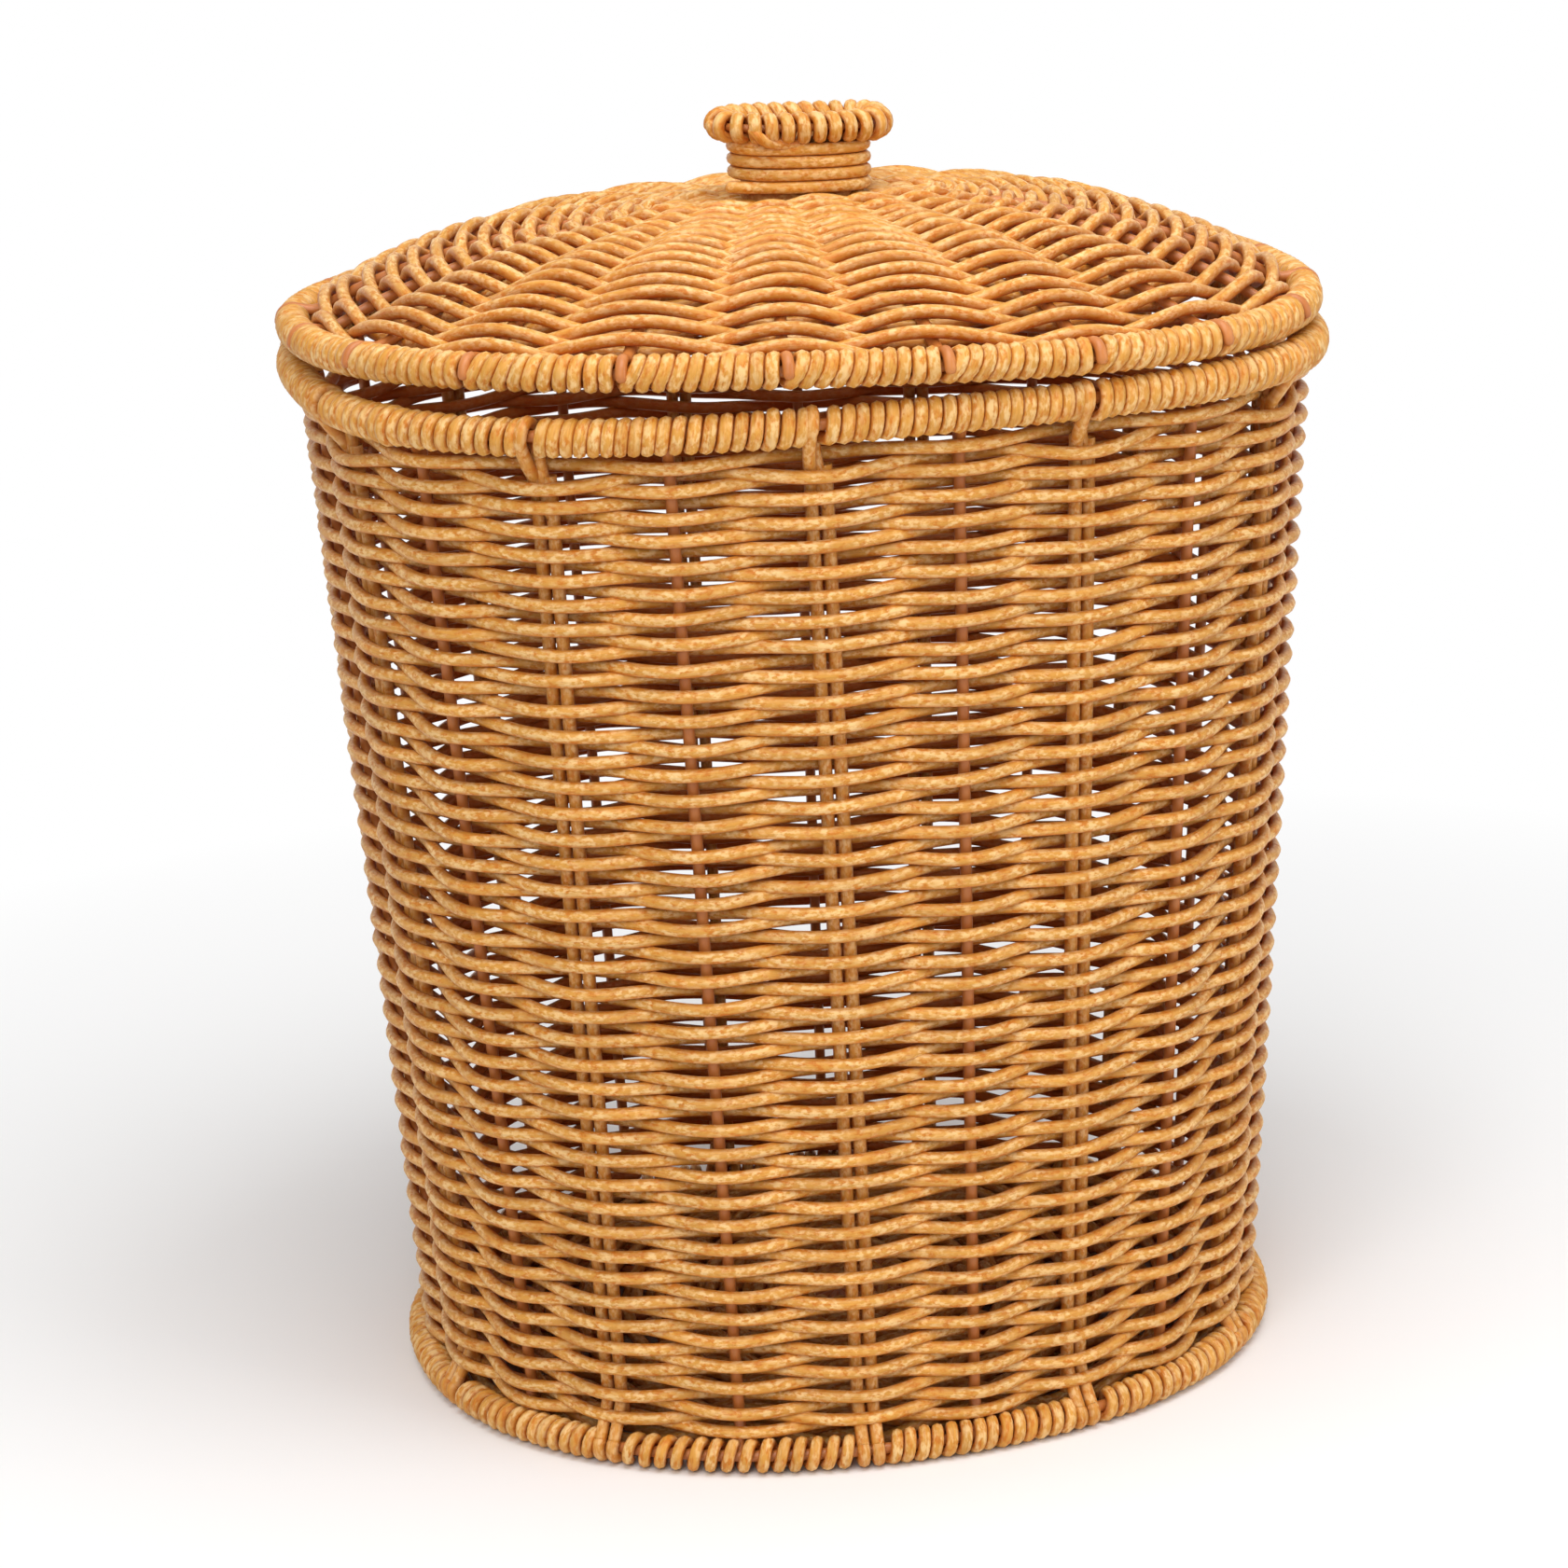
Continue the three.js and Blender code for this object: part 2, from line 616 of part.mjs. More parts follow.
const neckSpace = leastSpace(neckRoute, KNOB_STRAND, TURN_STEPS);
const knobSpace = leastSpace(knobRoute, KNOB_STRAND, KNOB_TURN_STEPS);
console.log(`least space in the neck winding ${neckSpace.toFixed(2)} mm`);
console.log(`least space in the knob ring winding ${knobSpace.toFixed(2)} mm`);

const laundryBasket = new THREE.Group();
laundryBasket.add(basket, lid);
export default laundryBasket;
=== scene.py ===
"""Looks of an oval laundry basket, woven from moulded rattan strand over coated wire, with a loose domed lid.

Every strand is a tube carried along a route that is worked out with numpy. Lengths are in metres. A share
is a part of the way round an oval, counted from +X anticlockwise as seen from above.
"""

import logging
import math
from dataclasses import dataclass, field, replace
from enum import Enum
from typing import Callable

import bpy
import numpy as np
from mathutils import Matrix, Vector


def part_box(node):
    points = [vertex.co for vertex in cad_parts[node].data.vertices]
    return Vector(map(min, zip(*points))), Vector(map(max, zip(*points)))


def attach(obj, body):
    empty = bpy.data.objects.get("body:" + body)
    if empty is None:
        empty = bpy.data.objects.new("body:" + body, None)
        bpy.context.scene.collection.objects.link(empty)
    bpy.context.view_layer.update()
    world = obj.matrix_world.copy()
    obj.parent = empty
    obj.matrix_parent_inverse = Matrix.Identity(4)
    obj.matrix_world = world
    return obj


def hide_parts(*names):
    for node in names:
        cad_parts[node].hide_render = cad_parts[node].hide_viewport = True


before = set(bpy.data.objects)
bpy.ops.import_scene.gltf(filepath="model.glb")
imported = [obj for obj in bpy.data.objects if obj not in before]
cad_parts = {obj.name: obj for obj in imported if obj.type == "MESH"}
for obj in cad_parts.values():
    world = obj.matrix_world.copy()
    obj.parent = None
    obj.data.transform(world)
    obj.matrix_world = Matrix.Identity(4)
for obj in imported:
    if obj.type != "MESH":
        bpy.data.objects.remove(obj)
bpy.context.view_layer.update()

MM = 0.001
UP = np.array([0.0, 0.0, 1.0])
WIRE_SIDES = 10
# The round end of a tube: how far past the end each ring lies, and its radius, both in radii of the tube.
END_RINGS = ((1.0, 0.86, 0.5), (0.2, 0.62, 0.9))
# The length of strand on which a strand's mottling may start.
MOTTLED_LENGTH = 40.0
Array = np.ndarray
Socket = bpy.types.NodeSocket
Value = Socket | float | tuple
SurfacePoint = Callable[[Array, Array, Array], Array]
log = logging.getLogger("laundry_basket")


class Body(Enum):
    """The two bodies that come apart."""

    BASKET = "basket"
    LID = "lid"


class Slot(Enum):
    """The record's material slots."""

    HONEY = "honey_strand"
    SHADED = "shaded_strand"
    WIRE = "brown_wire"


@dataclass(frozen=True)
class Stock:
    """The strand and wire that the basket is made from."""

    strand: float = 5.0 * MM
    wrap: float = 4.4 * MM
    wrap_breadth: float = 1.18
    wire: float = 4.4 * MM
    corner_angle: float = math.radians(60)

    @property
    def solid_wire_half_height(self) -> float:
        """Half the height of a six-sided solid wire that lies on its flats."""
        return self.wire / 2 * math.sin(self.corner_angle)

    @property
    def swing(self) -> float:
        """How far the middle of a strand lies from the middle of the wire that it crosses."""
        return (self.strand + self.wire) / 2


STOCK = Stock()


# Shapes worked out as whole arrays


def smooth_step(value: Array) -> Array:
    """A ramp from 0 to 1 with level ends, 3x^2 - 2x^3, held outside 0..1.

    Args:
        value: Places along the ramp, where 0 is its foot and 1 its top.

    Returns:
        The ramp's height at each place.
    """
    x = np.clip(value, 0.0, 1.0)
    return x * x * (3.0 - 2.0 * x)


def unit(vectors: Array) -> Array:
    """The rows of an array, each scaled to length one."""
    return vectors / np.maximum(np.linalg.norm(vectors, axis=1, keepdims=True), 1e-12)


def bearing(points: Array) -> Array:
    """The direction of each point from the middle axis, anticlockwise from +X."""
    return np.arctan2(points[:, 1], points[:, 0])


def facing(angle: Array, direction: float) -> Array:
    """The squared cosine between each angle and a direction, or 0 where they lie more than a quarter apart."""
    return np.clip(np.cos(angle - direction), 0.0, None) ** 2


def left_of(outward: Array) -> Array:
    """The level directions a quarter turn anticlockwise from outward ones."""
    return np.column_stack([-outward[:, 1], outward[:, 0], np.zeros(len(outward))])


def smooth_route(knots: Array, samples: int) -> Array:
    """A smooth route through knots: the cubic whose slope at a knot is half the chord of its neighbours.

    Args:
        knots: The points that the route passes through, one a row.
        samples: How many points each stretch between two knots gets.

    Returns:
        The route's points, ending on the last knot.
    """
    padded = np.vstack([2 * knots[0] - knots[1], knots, 2 * knots[-1] - knots[-2]])
    place = np.arange((len(knots) - 1) * samples + 1) / samples
    index = np.minimum(place.astype(int), len(knots) - 2)
    t = (place - index)[:, None]
    before, start, end, after = (padded[index + k] for k in range(4))
    rise = (end - before) / 2
    fall = (after - start) / 2
    return (
        start * (1 - 3 * t**2 + 2 * t**3)
        + end * (3 * t**2 - 2 * t**3)
        + rise * (t - 2 * t**2 + t**3)
        + fall * (t**3 - t**2)
    )


class Unevenness:
    """Smooth seeded wandering, as a hand leaves it: random values at whole places, eased between them."""

    def __init__(self, seed: int, length: int = 4096) -> None:
        """Draws the random values.

        Args:
            seed: Makes one wandering differ from the next.
            length: How many whole places there are before it repeats.
        """
        self.values = np.random.default_rng(seed).uniform(-1.0, 1.0, length)

    def at(self, place: Array) -> Array:
        """The wandering, between -1 and 1, at each place."""
        low = np.floor(place).astype(int)
        ease = smooth_step(place - low)
        size = len(self.values)
        return self.values[low % size] * (1 - ease) + self.values[(low + 1) % size] * ease


@dataclass(frozen=True)
class Oval:
    """A superellipse |x/a|^n + |y/b|^n = 1, walked at an even pace."""

    half_length: float
    half_width: float
    squareness: float
    table: int = 4096

    def radius(self, angle: Array) -> Array:
        """The distance from the centre: (|cos/a|^n + |sin/b|^n)^(-1/n) at each polar angle."""
        across = np.abs(np.cos(angle) / self.half_length) ** self.squareness
        deep = np.abs(np.sin(angle) / self.half_width) ** self.squareness
        return (across + deep) ** (-1.0 / self.squareness)

    def walk(self) -> tuple[Array, Array]:
        """The polar angles of a fine walk round the oval, and the length walked at each."""
        angle = np.linspace(0.0, 2 * np.pi, self.table + 1)
        radius = self.radius(angle)
        steps = np.hypot(np.diff(radius * np.cos(angle)), np.diff(radius * np.sin(angle)))
        return angle, np.concatenate([[0.0], np.cumsum(steps)])

    @property
    def perimeter(self) -> float:
        """The length of one lap."""
        return float(self.walk()[1][-1])

    def at(self, share: Array) -> tuple[Array, Array]:
        """Points and outward directions at shares of a lap.

        The outward direction is the slope of |x/a|^n + |y/b|^n, scaled to length one.

        Args:
            share: Parts of a lap, of any size.

        Returns:
            The points and the outward directions, each with x and y in its columns.
        """
        angles, walked = self.walk()
        angle = np.interp(np.mod(share, 1.0) * walked[-1], walked, angles)
        radius = self.radius(angle)
        point = np.stack([radius * np.cos(angle), radius * np.sin(angle)], axis=1)
        size = np.array([self.half_length, self.half_width])
        slope = np.sign(point) * np.abs(point / size) ** (self.squareness - 1) / size
        return point, unit(slope)


@dataclass(frozen=True)
class Hoop:
    """An oval hoop at a height, bowed up on one side and sagging on another.

    It rises by bow times the squared cosine from the bow direction, and sinks by sag in the same way.
    """

    oval: Oval
    height: float
    bow: float = 0.0
    bow_angle: float = 0.0
    sag: float = 0.0
    sag_angle: float = 0.0

    @classmethod
    def of_node(cls, node: str, squareness: float, bowed: bool = False, **rest: float) -> "Hoop":
        """The hoop whose wire a CAD node holds.

        Args:
            node: The name of the wire's node.
            squareness: The power of the oval.
            bowed: True where the node's height holds a bow besides the wire.
            **rest: The bow's direction, and the sag with its direction.

        Returns:
            The hoop on the wire's centreline.
        """
        low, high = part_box(node)
        half_wire = STOCK.solid_wire_half_height
        oval = Oval((high.x - low.x - STOCK.wire) / 2, (high.y - low.y - STOCK.wire) / 2, squareness)
        bow = high.z - low.z - 2 * half_wire if bowed else 0.0
        return cls(oval, low.z + half_wire, bow, **rest)

    def bow_at(self, angle: Array) -> Array:
        """How far the hoop stands above its height in each direction, or below it where that is negative."""
        return self.bow * facing(angle, self.bow_angle) - self.sag * facing(angle, self.sag_angle)

    def beside(self, share: Array, out: Array | float, up: Array | float) -> Array:
        """Points beside the hoop.

        Args:
            share: Parts of a lap.
            out: How far outwards of the centreline.
            up: How far above the centreline.

        Returns:
            One point a row.
        """
        share = np.atleast_1d(np.asarray(share, float))
        point, outward = self.oval.at(share)
        height = self.height + self.bow_at(bearing(point)) + up
        flat = point + outward * np.broadcast_to(out, share.shape)[:, None]
        return np.column_stack([flat, height])

    def along(self, share: Array | float) -> Array:
        """The level direction along the hoop at each share."""
        _, outward = self.oval.at(np.atleast_1d(np.asarray(share, float)))
        return left_of(outward)

    def wire(self, thickness: float = STOCK.wire, steps: int = 160) -> "Tube":
        """The hoop's wire, as one closed round tube.

        Args:
            thickness: How thick the wire is.
            steps: How many rings the tube has.

        Returns:
            The tube round the whole lap.
        """
        route = self.beside(np.arange(steps) / steps, 0.0, 0.0)
        return Tube(route, thickness / 2, UP, WIRE_SIDES, lap=True)


@dataclass
class Tube:
    """A round or oval tube carried along a route.

    A corner of the section stands at the route's point plus radius times (cos v * side + breadth sin v * over),
    where side is square to the route and to the reference, and over is square to both. The face of a strand, which
    its finish leaves lighter than the painted shade on its inner side, looks to side where outer is 1 and away from
    it where outer is -1.
    """

    route: Array
    radius: float
    reference: Array
    sides: int = 8
    breadth: float = 1.0
    outer: float = 1.0
    lap: bool = False

    def rings(self) -> tuple[Array, Array, Array]:
        """The route with its round ends, the radius at each point and the reference at each point."""
        route = self.route
        radius = np.full(len(route), self.radius)
        reference = np.broadcast_to(self.reference, route.shape)
        if self.lap:
            return route, radius, reference
        cap, shrink = np.array(END_RINGS) * self.radius
        start, end = unit(route[:1] - route[1:2]), unit(route[-1:] - route[-2:-1])
        route = np.vstack([route[:1] + start * cap[:, None], route, route[-1:] + end * cap[::-1, None]])
        radius = np.concatenate([shrink, radius, shrink[::-1]])
        return route, radius, np.pad(reference, ((len(cap), len(cap)), (0, 0)), mode="edge")

    def corners(self, offset: float) -> tuple[Array, Array]:
        """The tube's corners, and the place of each on the strand.

        Args:
            offset: What the strand's length starts from, so that no two strands are mottled alike.

        Returns:
            The corners, ring by ring, and (length, outer cos v * radius, sin v * radius) at each.
        """
        route, radius, reference = self.rings()
        if self.lap:
            tangent = unit(np.roll(route, -1, 0) - np.roll(route, 1, 0))
        else:
            tangent = unit(np.gradient(route, axis=0))
        side = unit(np.cross(tangent, reference))
        over = np.cross(side, tangent)
        angle = 2 * np.pi * np.arange(self.sides) / self.sides
        cos, sin = np.cos(angle)[None, :, None], np.sin(angle)[None, :, None]
        section = cos * side[:, None, :] + self.breadth * sin * over[:, None, :]
        corners = route[:, None, :] + radius[:, None, None] * section
        length = np.concatenate([[0.0], np.cumsum(np.linalg.norm(np.diff(route, axis=0), axis=1))])
        place = np.stack(np.broadcast_arrays(
            (length + offset)[:, None],
            self.outer * radius[:, None] * np.cos(angle),
            radius[:, None] * np.sin(angle),
        ), axis=2)
        return corners.reshape(-1, 3), place.reshape(-1, 3)

    def faces(self, rings: int) -> tuple[Array, Array]:
        """The four-cornered faces between rings, and the many-cornered faces that close the ends.

        Args:
            rings: How many rings the tube has.

        Returns:
            Corner numbers of the sides, four a row, and of the two ends, one end a row, or no row on a lap.
        """
        number = np.arange(rings * self.sides).reshape(rings, self.sides)
        beside = np.roll(number, -1, 1)
        quads = np.stack([number, beside, np.roll(beside, -1, 0), np.roll(number, -1, 0)], axis=2)
        if self.lap:
            return quads.reshape(-1, 4), number[:0]
        return quads[:-1].reshape(-1, 4), np.stack([number[0, ::-1], number[-1]])


def mesh_of(name: str, tubes: list[Tube], seed: int) -> bpy.types.Mesh:
    """One mesh that holds several tubes, with the strand coordinate as an attribute.

    Args:
        name: The mesh's name.
        tubes: The tubes, which all have the same number of sides.
        seed: Starts each strand's mottling at a place of its own.

    Returns:
        A closed mesh with smooth faces that point outwards.
    """
    starts = np.random.default_rng(seed).uniform(0.0, MOTTLED_LENGTH, len(tubes))
    points, places, quads, ends, count = [], [], [], [], 0
    for tube, start in zip(tubes, starts):
        corner, place = tube.corners(float(start))
        quad, end = tube.faces(len(corner) // tube.sides)
        points.append(corner)
        places.append(place)
        quads.append(quad + count)
        ends.append(end + count)
        count += len(corner)
    faces = [np.concatenate(quads), np.concatenate(ends)]
    loops = np.concatenate([face.ravel() for face in faces])
    sizes = np.concatenate([np.full(len(face), face.shape[1]) for face in faces])
    mesh = bpy.data.meshes.new(name)
    mesh.vertices.add(count)
    mesh.vertices.foreach_set("co", np.concatenate(points).astype(np.float32).ravel())
    mesh.loops.add(len(loops))
    mesh.loops.foreach_set("vertex_index", loops.astype(np.int32))
    mesh.polygons.add(len(sizes))
    mesh.polygons.foreach_set("loop_start", (np.cumsum(sizes) - sizes).astype(np.int32))
    mesh.polygons.foreach_set("use_smooth", np.ones(len(sizes), bool))
    mesh.update(calc_edges=True)
    attribute = mesh.attributes.new("strand", "FLOAT_VECTOR", "POINT")
    attribute.data.foreach_set("vector", np.concatenate(places).astype(np.float32).ravel())
    return mesh


# Finishes


@dataclass
class Graph:
    """Short ways to place and link nodes in one node tree."""

    tree: bpy.types.NodeTree

    @classmethod
    def emptied(cls, owner: bpy.types.Material | bpy.types.World) -> "Graph":
        """The node tree of a material or a world, without the nodes that Blender starts it with."""
        owner.use_nodes = True
        owner.node_tree.nodes.clear()
        return cls(owner.node_tree)

    def add(self, kind: str, links: dict | None = None, **settings: object) -> bpy.types.Node:
        """Places a node.

        Args:
            kind: The node's type name.
            links: For each input, by name or number, the socket that feeds it or the value that it holds.
            **settings: Properties of the node.

        Returns:
            The node.
        """
        node = self.tree.nodes.new(kind)
        for key, value in settings.items():
            setattr(node, key, value)
        for key, value in (links or {}).items():
            if isinstance(value, bpy.types.NodeSocket):
                self.tree.links.new(value, node.inputs[key])
            else:
                node.inputs[key].default_value = value
        return node

    def noise(self, vector: Socket, scale: tuple, detail: float) -> Socket:
        """Noise over a vector that is first stretched by scale.

        Args:
            vector: The coordinate.
            scale: How many patches a metre holds along each axis.
            detail: How much finer noise is added.

        Returns:
            The noise, about 0.5 with most of it between 0.3 and 0.7.
        """
        stretched = self.add("ShaderNodeVectorMath", {0: vector, 1: scale}, operation="MULTIPLY").outputs[0]
        return self.add("ShaderNodeTexNoise", {"Vector": stretched, "Scale": 1.0, "Detail": detail}).outputs["Fac"]

    def span(self, value: Socket, low: float, high: float, top: float = 1.0) -> Socket:
        """A value stretched so that low gives 0 and high gives top, held outside."""
        ends = {"Value": value, "From Min": low, "From Max": high, "To Min": 0.0, "To Max": top}
        return self.add("ShaderNodeMapRange", ends).outputs[0]

    def mix(self, share: Value, first: Value, second: Value, blend: str = "MIX") -> Socket:
        """Two colours mixed by a share."""
        links = {0: share, 6: first, 7: second}
        return self.add("ShaderNodeMix", links, data_type="RGBA", blend_type=blend).outputs[2]

    def maths(self, operation: str, first: Value, second: Value) -> Socket:
        """Two values put through one sum."""
        return self.add("ShaderNodeMath", {0: first, 1: second}, operation=operation).outputs[0]

    def seen_straight(self) -> Socket:
        """1 on what the camera sees straight, in a mirror or through glass, and 0 on what only lights things."""
        path = self.add("ShaderNodeLightPath").outputs
        seen = self.maths("MAXIMUM", path["Is Camera Ray"], path["Is Glossy Ray"])
        return self.maths("MAXIMUM", seen, path["Is Transmission Ray"])

    def surface(self, look: dict, height: Socket, bump: float, depth: float) -> None:
        """Ends a material in a surface with a bump.

        Args:
            look: The colour, the roughness and what else the surface's inputs hold.
            height: The bump's height.
            bump: The bump's strength.
            depth: How deep a height of 1 lies.
        """
        bumped = self.add("ShaderNodeBump", {"Strength": bump, "Distance": depth, "Height": height})
        shader = self.add("ShaderNodeBsdfPrincipled", {**look, "Normal": bumped.outputs["Normal"]})
        self.add("ShaderNodeOutputMaterial", {"Surface": shader.outputs[0]})


# The noises of moulded rattan: patches a metre along the strand and across it, and detail.
NOISES = {
    "fleck": (420.0, 700.0, 3.0),
    "patch": (110.0, 260.0, 2.0),
    "blotch": (230.0, 420.0, 3.0),
    "spot": (620.0, 900.0, 2.0),
    "tone": (22.0, 90.0, 1.0),
    "grain": (150.0, 2600.0, 2.0),
    "dent": (260.0, 420.0, 2.0),
}


def mottled_group() -> bpy.types.NodeTree:
    """The node group of moulded rattan: pale flecks and orange patches, a millimetre or two long.

    The colour darkens to the shade colour as painted shade: where a strand lies against its neighbours, on its inner
    side, and under a strand that runs level. The tone takes the brightness from 0.88 to 1.08, and the grain up to
    0.16 off it.

    Returns:
        A group that takes the strand coordinate and four colours, and gives a colour, a roughness and a height.
    """
    group = bpy.data.node_groups.new("moulded_rattan", "ShaderNodeTree")
    for side, kind, names in (
        ("INPUT", "Vector", ("Place",)),
        ("INPUT", "Color", ("Ground", "Fleck", "Blotch", "PaintedShadeColour")),
        ("INPUT", "Float", ("Mottling", "PaintedShadeBetween", "PaintedShadeInner", "PaintedShadeUnder")),
        ("OUTPUT", "Color", ("Color",)),
        ("OUTPUT", "Float", ("Roughness", "Height")),
    ):
        for name in names:
            group.interface.new_socket(name=name, in_out=side, socket_type=f"NodeSocket{kind}")
    graph = Graph(group)
    source = graph.add("NodeGroupInput").outputs
    place = source["Place"]
    noise = {
        name: graph.noise(place, (along, across, across), detail)
        for name, (along, across, detail) in NOISES.items()
    }
    pale = graph.maths("MULTIPLY", graph.span(noise["fleck"], 0.44, 0.6), graph.span(noise["patch"], 0.3, 0.56))
    warm = graph.maths("MULTIPLY", graph.span(noise["blotch"], 0.48, 0.6), graph.span(noise["spot"], 0.34, 0.56))
    colour = source["Ground"]
    for mask, name in ((warm, "Blotch"), (pale, "Fleck")):
        colour = graph.mix(graph.maths("MULTIPLY", mask, source["Mottling"]), colour, source[name])
    shade = graph.maths("ADD", graph.span(noise["tone"], 0.25, 0.75, 0.2), 0.88)
    shade = graph.maths("SUBTRACT", shade, graph.span(noise["grain"], 0.5, 0.75, 0.16))
    brightness = graph.add("ShaderNodeCombineXYZ", {0: shade, 1: shade, 2: shade}).outputs[0]
    toned = graph.mix(1.0, colour, brightness, "MULTIPLY")
    section = graph.add("ShaderNodeSeparateXYZ", {0: place}).outputs
    beside = graph.maths("ABSOLUTE", section[2], 0.0)
    # Painted shade: the colour darkens towards the shade colour between neighbouring strands, on a strand's inner
    # side and under a level strand.
    deep = 0.0
    for where, start, end, depth, name in (
        (beside, 1.6 * MM, 2.25 * MM, 0.75, "PaintedShadeBetween"),
        (section[1], 0.4 * MM, -1.5 * MM, 0.8, "PaintedShadeInner"),
        (section[2], -0.7 * MM, -2.4 * MM, 0.7, "PaintedShadeUnder"),
    ):
        mask = graph.maths("MULTIPLY", graph.span(where, start, end, depth), source[name])
        deep = graph.maths("MAXIMUM", deep, mask)
    graph.add("NodeGroupOutput", {
        "Color": graph.mix(deep, toned, source["PaintedShadeColour"]),
        "Roughness": graph.maths("ADD", graph.span(noise["blotch"], 0.3, 0.7, 0.16), 0.36),
        "Height": graph.maths("SUBTRACT", noise["dent"], graph.span(noise["grain"], 0.45, 0.8, 0.35)),
    })
    return group


@dataclass(frozen=True)
class StrandFinish:
    """Moulded rattan strand with a satin surface, and painted shade between strands, on their inner side and under
    level ones.
    """

    name: str
    slot: Slot
    ground: tuple
    fleck: tuple
    blotch: tuple
    # The colour of the painted shade between strands, on their inner side and under level ones.
    deep: tuple = (0.46, 0.08, 0.003)
    mottling: float = 0.9
    # How strongly the painted shade falls between neighbouring strands, and under a strand that runs level.
    painted_shade_between: float = 1.0
    under: float = 0.0
    gloss: float = 0.3
    bump: float = 0.35
    bump_depth: float = 0.35 * MM
    on_strand: bool = True

    def paint(self, graph: Graph) -> None:
        """Fills a material, which reads the strand attribute, or Object coordinates on a plain solid."""
        if self.on_strand:
            place = graph.add("ShaderNodeAttribute", attribute_name="strand").outputs["Vector"]
        else:
            place = graph.add("ShaderNodeTexCoord").outputs["Object"]
        settings = {
            "Place": place,
            "Ground": (*self.ground, 1.0),
            "Fleck": (*self.fleck, 1.0),
            "Blotch": (*self.blotch, 1.0),
            "PaintedShadeColour": (*self.deep, 1.0),
            "Mottling": self.mottling,
            "PaintedShadeBetween": self.painted_shade_between,
            "PaintedShadeUnder": self.under,
            # Painted shade on a strand's inner side, which a plain solid doesn't get.
            "PaintedShadeInner": 1.0 if self.on_strand else 0.0,
        }
        group = bpy.data.node_groups["moulded_rattan"]
        mottled = graph.add("ShaderNodeGroup", settings, node_tree=group).outputs
        look = {
            "Base Color": mottled["Color"],
            "Roughness": mottled["Roughness"],
            "Specular IOR Level": self.gloss,
        }
        graph.surface(look, mottled["Height"], self.bump, self.bump_depth)


@dataclass(frozen=True)
class WireFinish:
    """Steel wire in a satin red-brown coating, a little uneven in colour and thickness."""

    name: str
    slot: Slot
    coat: tuple
    worn: tuple
    roughness: float = 0.36
    bump: float = 0.2
    bump_depth: float = 0.1 * MM

    def paint(self, graph: Graph) -> None:
        """Fills a material, which reads Object coordinates."""
        place = graph.add("ShaderNodeTexCoord").outputs["Object"]
        cloud = graph.noise(place, (160.0, 160.0, 90.0), 3.0)
        grit = graph.noise(place, (1400.0, 1400.0, 1400.0), 2.0)
        look = {
            "Base Color": graph.mix(graph.span(cloud, 0.4, 0.68), (*self.coat, 1.0), (*self.worn, 1.0)),
            "Roughness": graph.maths("ADD", graph.span(grit, 0.3, 0.7, 0.12), self.roughness),
        }
        graph.surface(look, grit, self.bump, self.bump_depth)


HONEY = StrandFinish(
    "honey_strand", Slot.HONEY, ground=(0.66, 0.305, 0.05), fleck=(0.85, 0.555, 0.235), blotch=(0.58, 0.175, 0.01)
)
# Woven strands get less painted shade between neighbours; the level wall weavers also get painted shade on their
# under side.
WOVEN = replace(HONEY, name="woven_strand", painted_shade_between=0.55)
LEVEL = replace(HONEY, name="level_strand", painted_shade_between=0.4, under=1.0)
# The neck's core: a darker copy of the strand, painted shade for a part that sits in shadow under the winding.
CORE_IN_PAINTED_SHADE = StrandFinish(
    "core_strand_in_painted_shade", Slot.SHADED, ground=(0.42, 0.16, 0.03), fleck=(0.6, 0.32, 0.1), blotch=(0.36, 0.1, 0.01),
    on_strand=False, painted_shade_between=0.0,
)
COATED_WIRE = WireFinish("coated_wire", Slot.WIRE, coat=(0.47, 0.145, 0.027), worn=(0.57, 0.2, 0.045))


def place_object(name: str, data: bpy.types.ID) -> bpy.types.Object:
    """An object of the scene that holds some data."""
    thing = bpy.data.objects.new(name, data)
    bpy.context.scene.collection.objects.link(thing)
    return thing


class Workshop:
    """Makes objects of meshes, dresses them and sets them on their bodies."""

    def __init__(self) -> None:
        """Starts with no material made."""
        mottled_group()
        self.materials: dict[str, bpy.types.Material] = {}

    def material(self, finish: StrandFinish | WireFinish) -> bpy.types.Material:
        """The material of a finish, made the first time it is asked for."""
        if finish.name not in self.materials:
            self.materials[finish.name] = bpy.data.materials.new(finish.name)
            finish.paint(Graph.emptied(self.materials[finish.name]))
        return self.materials[finish.name]

    def piece(
        self, name: str, tubes: list[Tube], finish: StrandFinish | WireFinish, body: Body, *nodes: str
    ) -> None:
        """Makes one piece of tubes and sets it in place of its solids.

        Args:
            name: The piece's name.
            tubes: The tubes that it is made of.
            finish: Its finish.
            body: The body that it moves with.
            *nodes: The CAD nodes that it stands for.
        """
        seed = sum(ord(letter) * place for place, letter in enumerate(name, 1))
        mesh = mesh_of(name, tubes, seed)
        mesh.materials.append(self.material(finish))
        piece = place_object(name, mesh)
        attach(piece, body.value)
        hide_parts(*nodes)
        log.info("%s: %d faces on %s", name, len(mesh.polygons), body.value)

    def dress(self, node: str, finish: StrandFinish | WireFinish) -> None:
        """Gives a CAD node that stays its finish."""
        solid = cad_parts[node]
        solid.data.materials.clear()
        solid.data.materials.append(self.material(finish))
        log.info("%s: dressed in %s", node, finish.name)


# Ways of working the strand


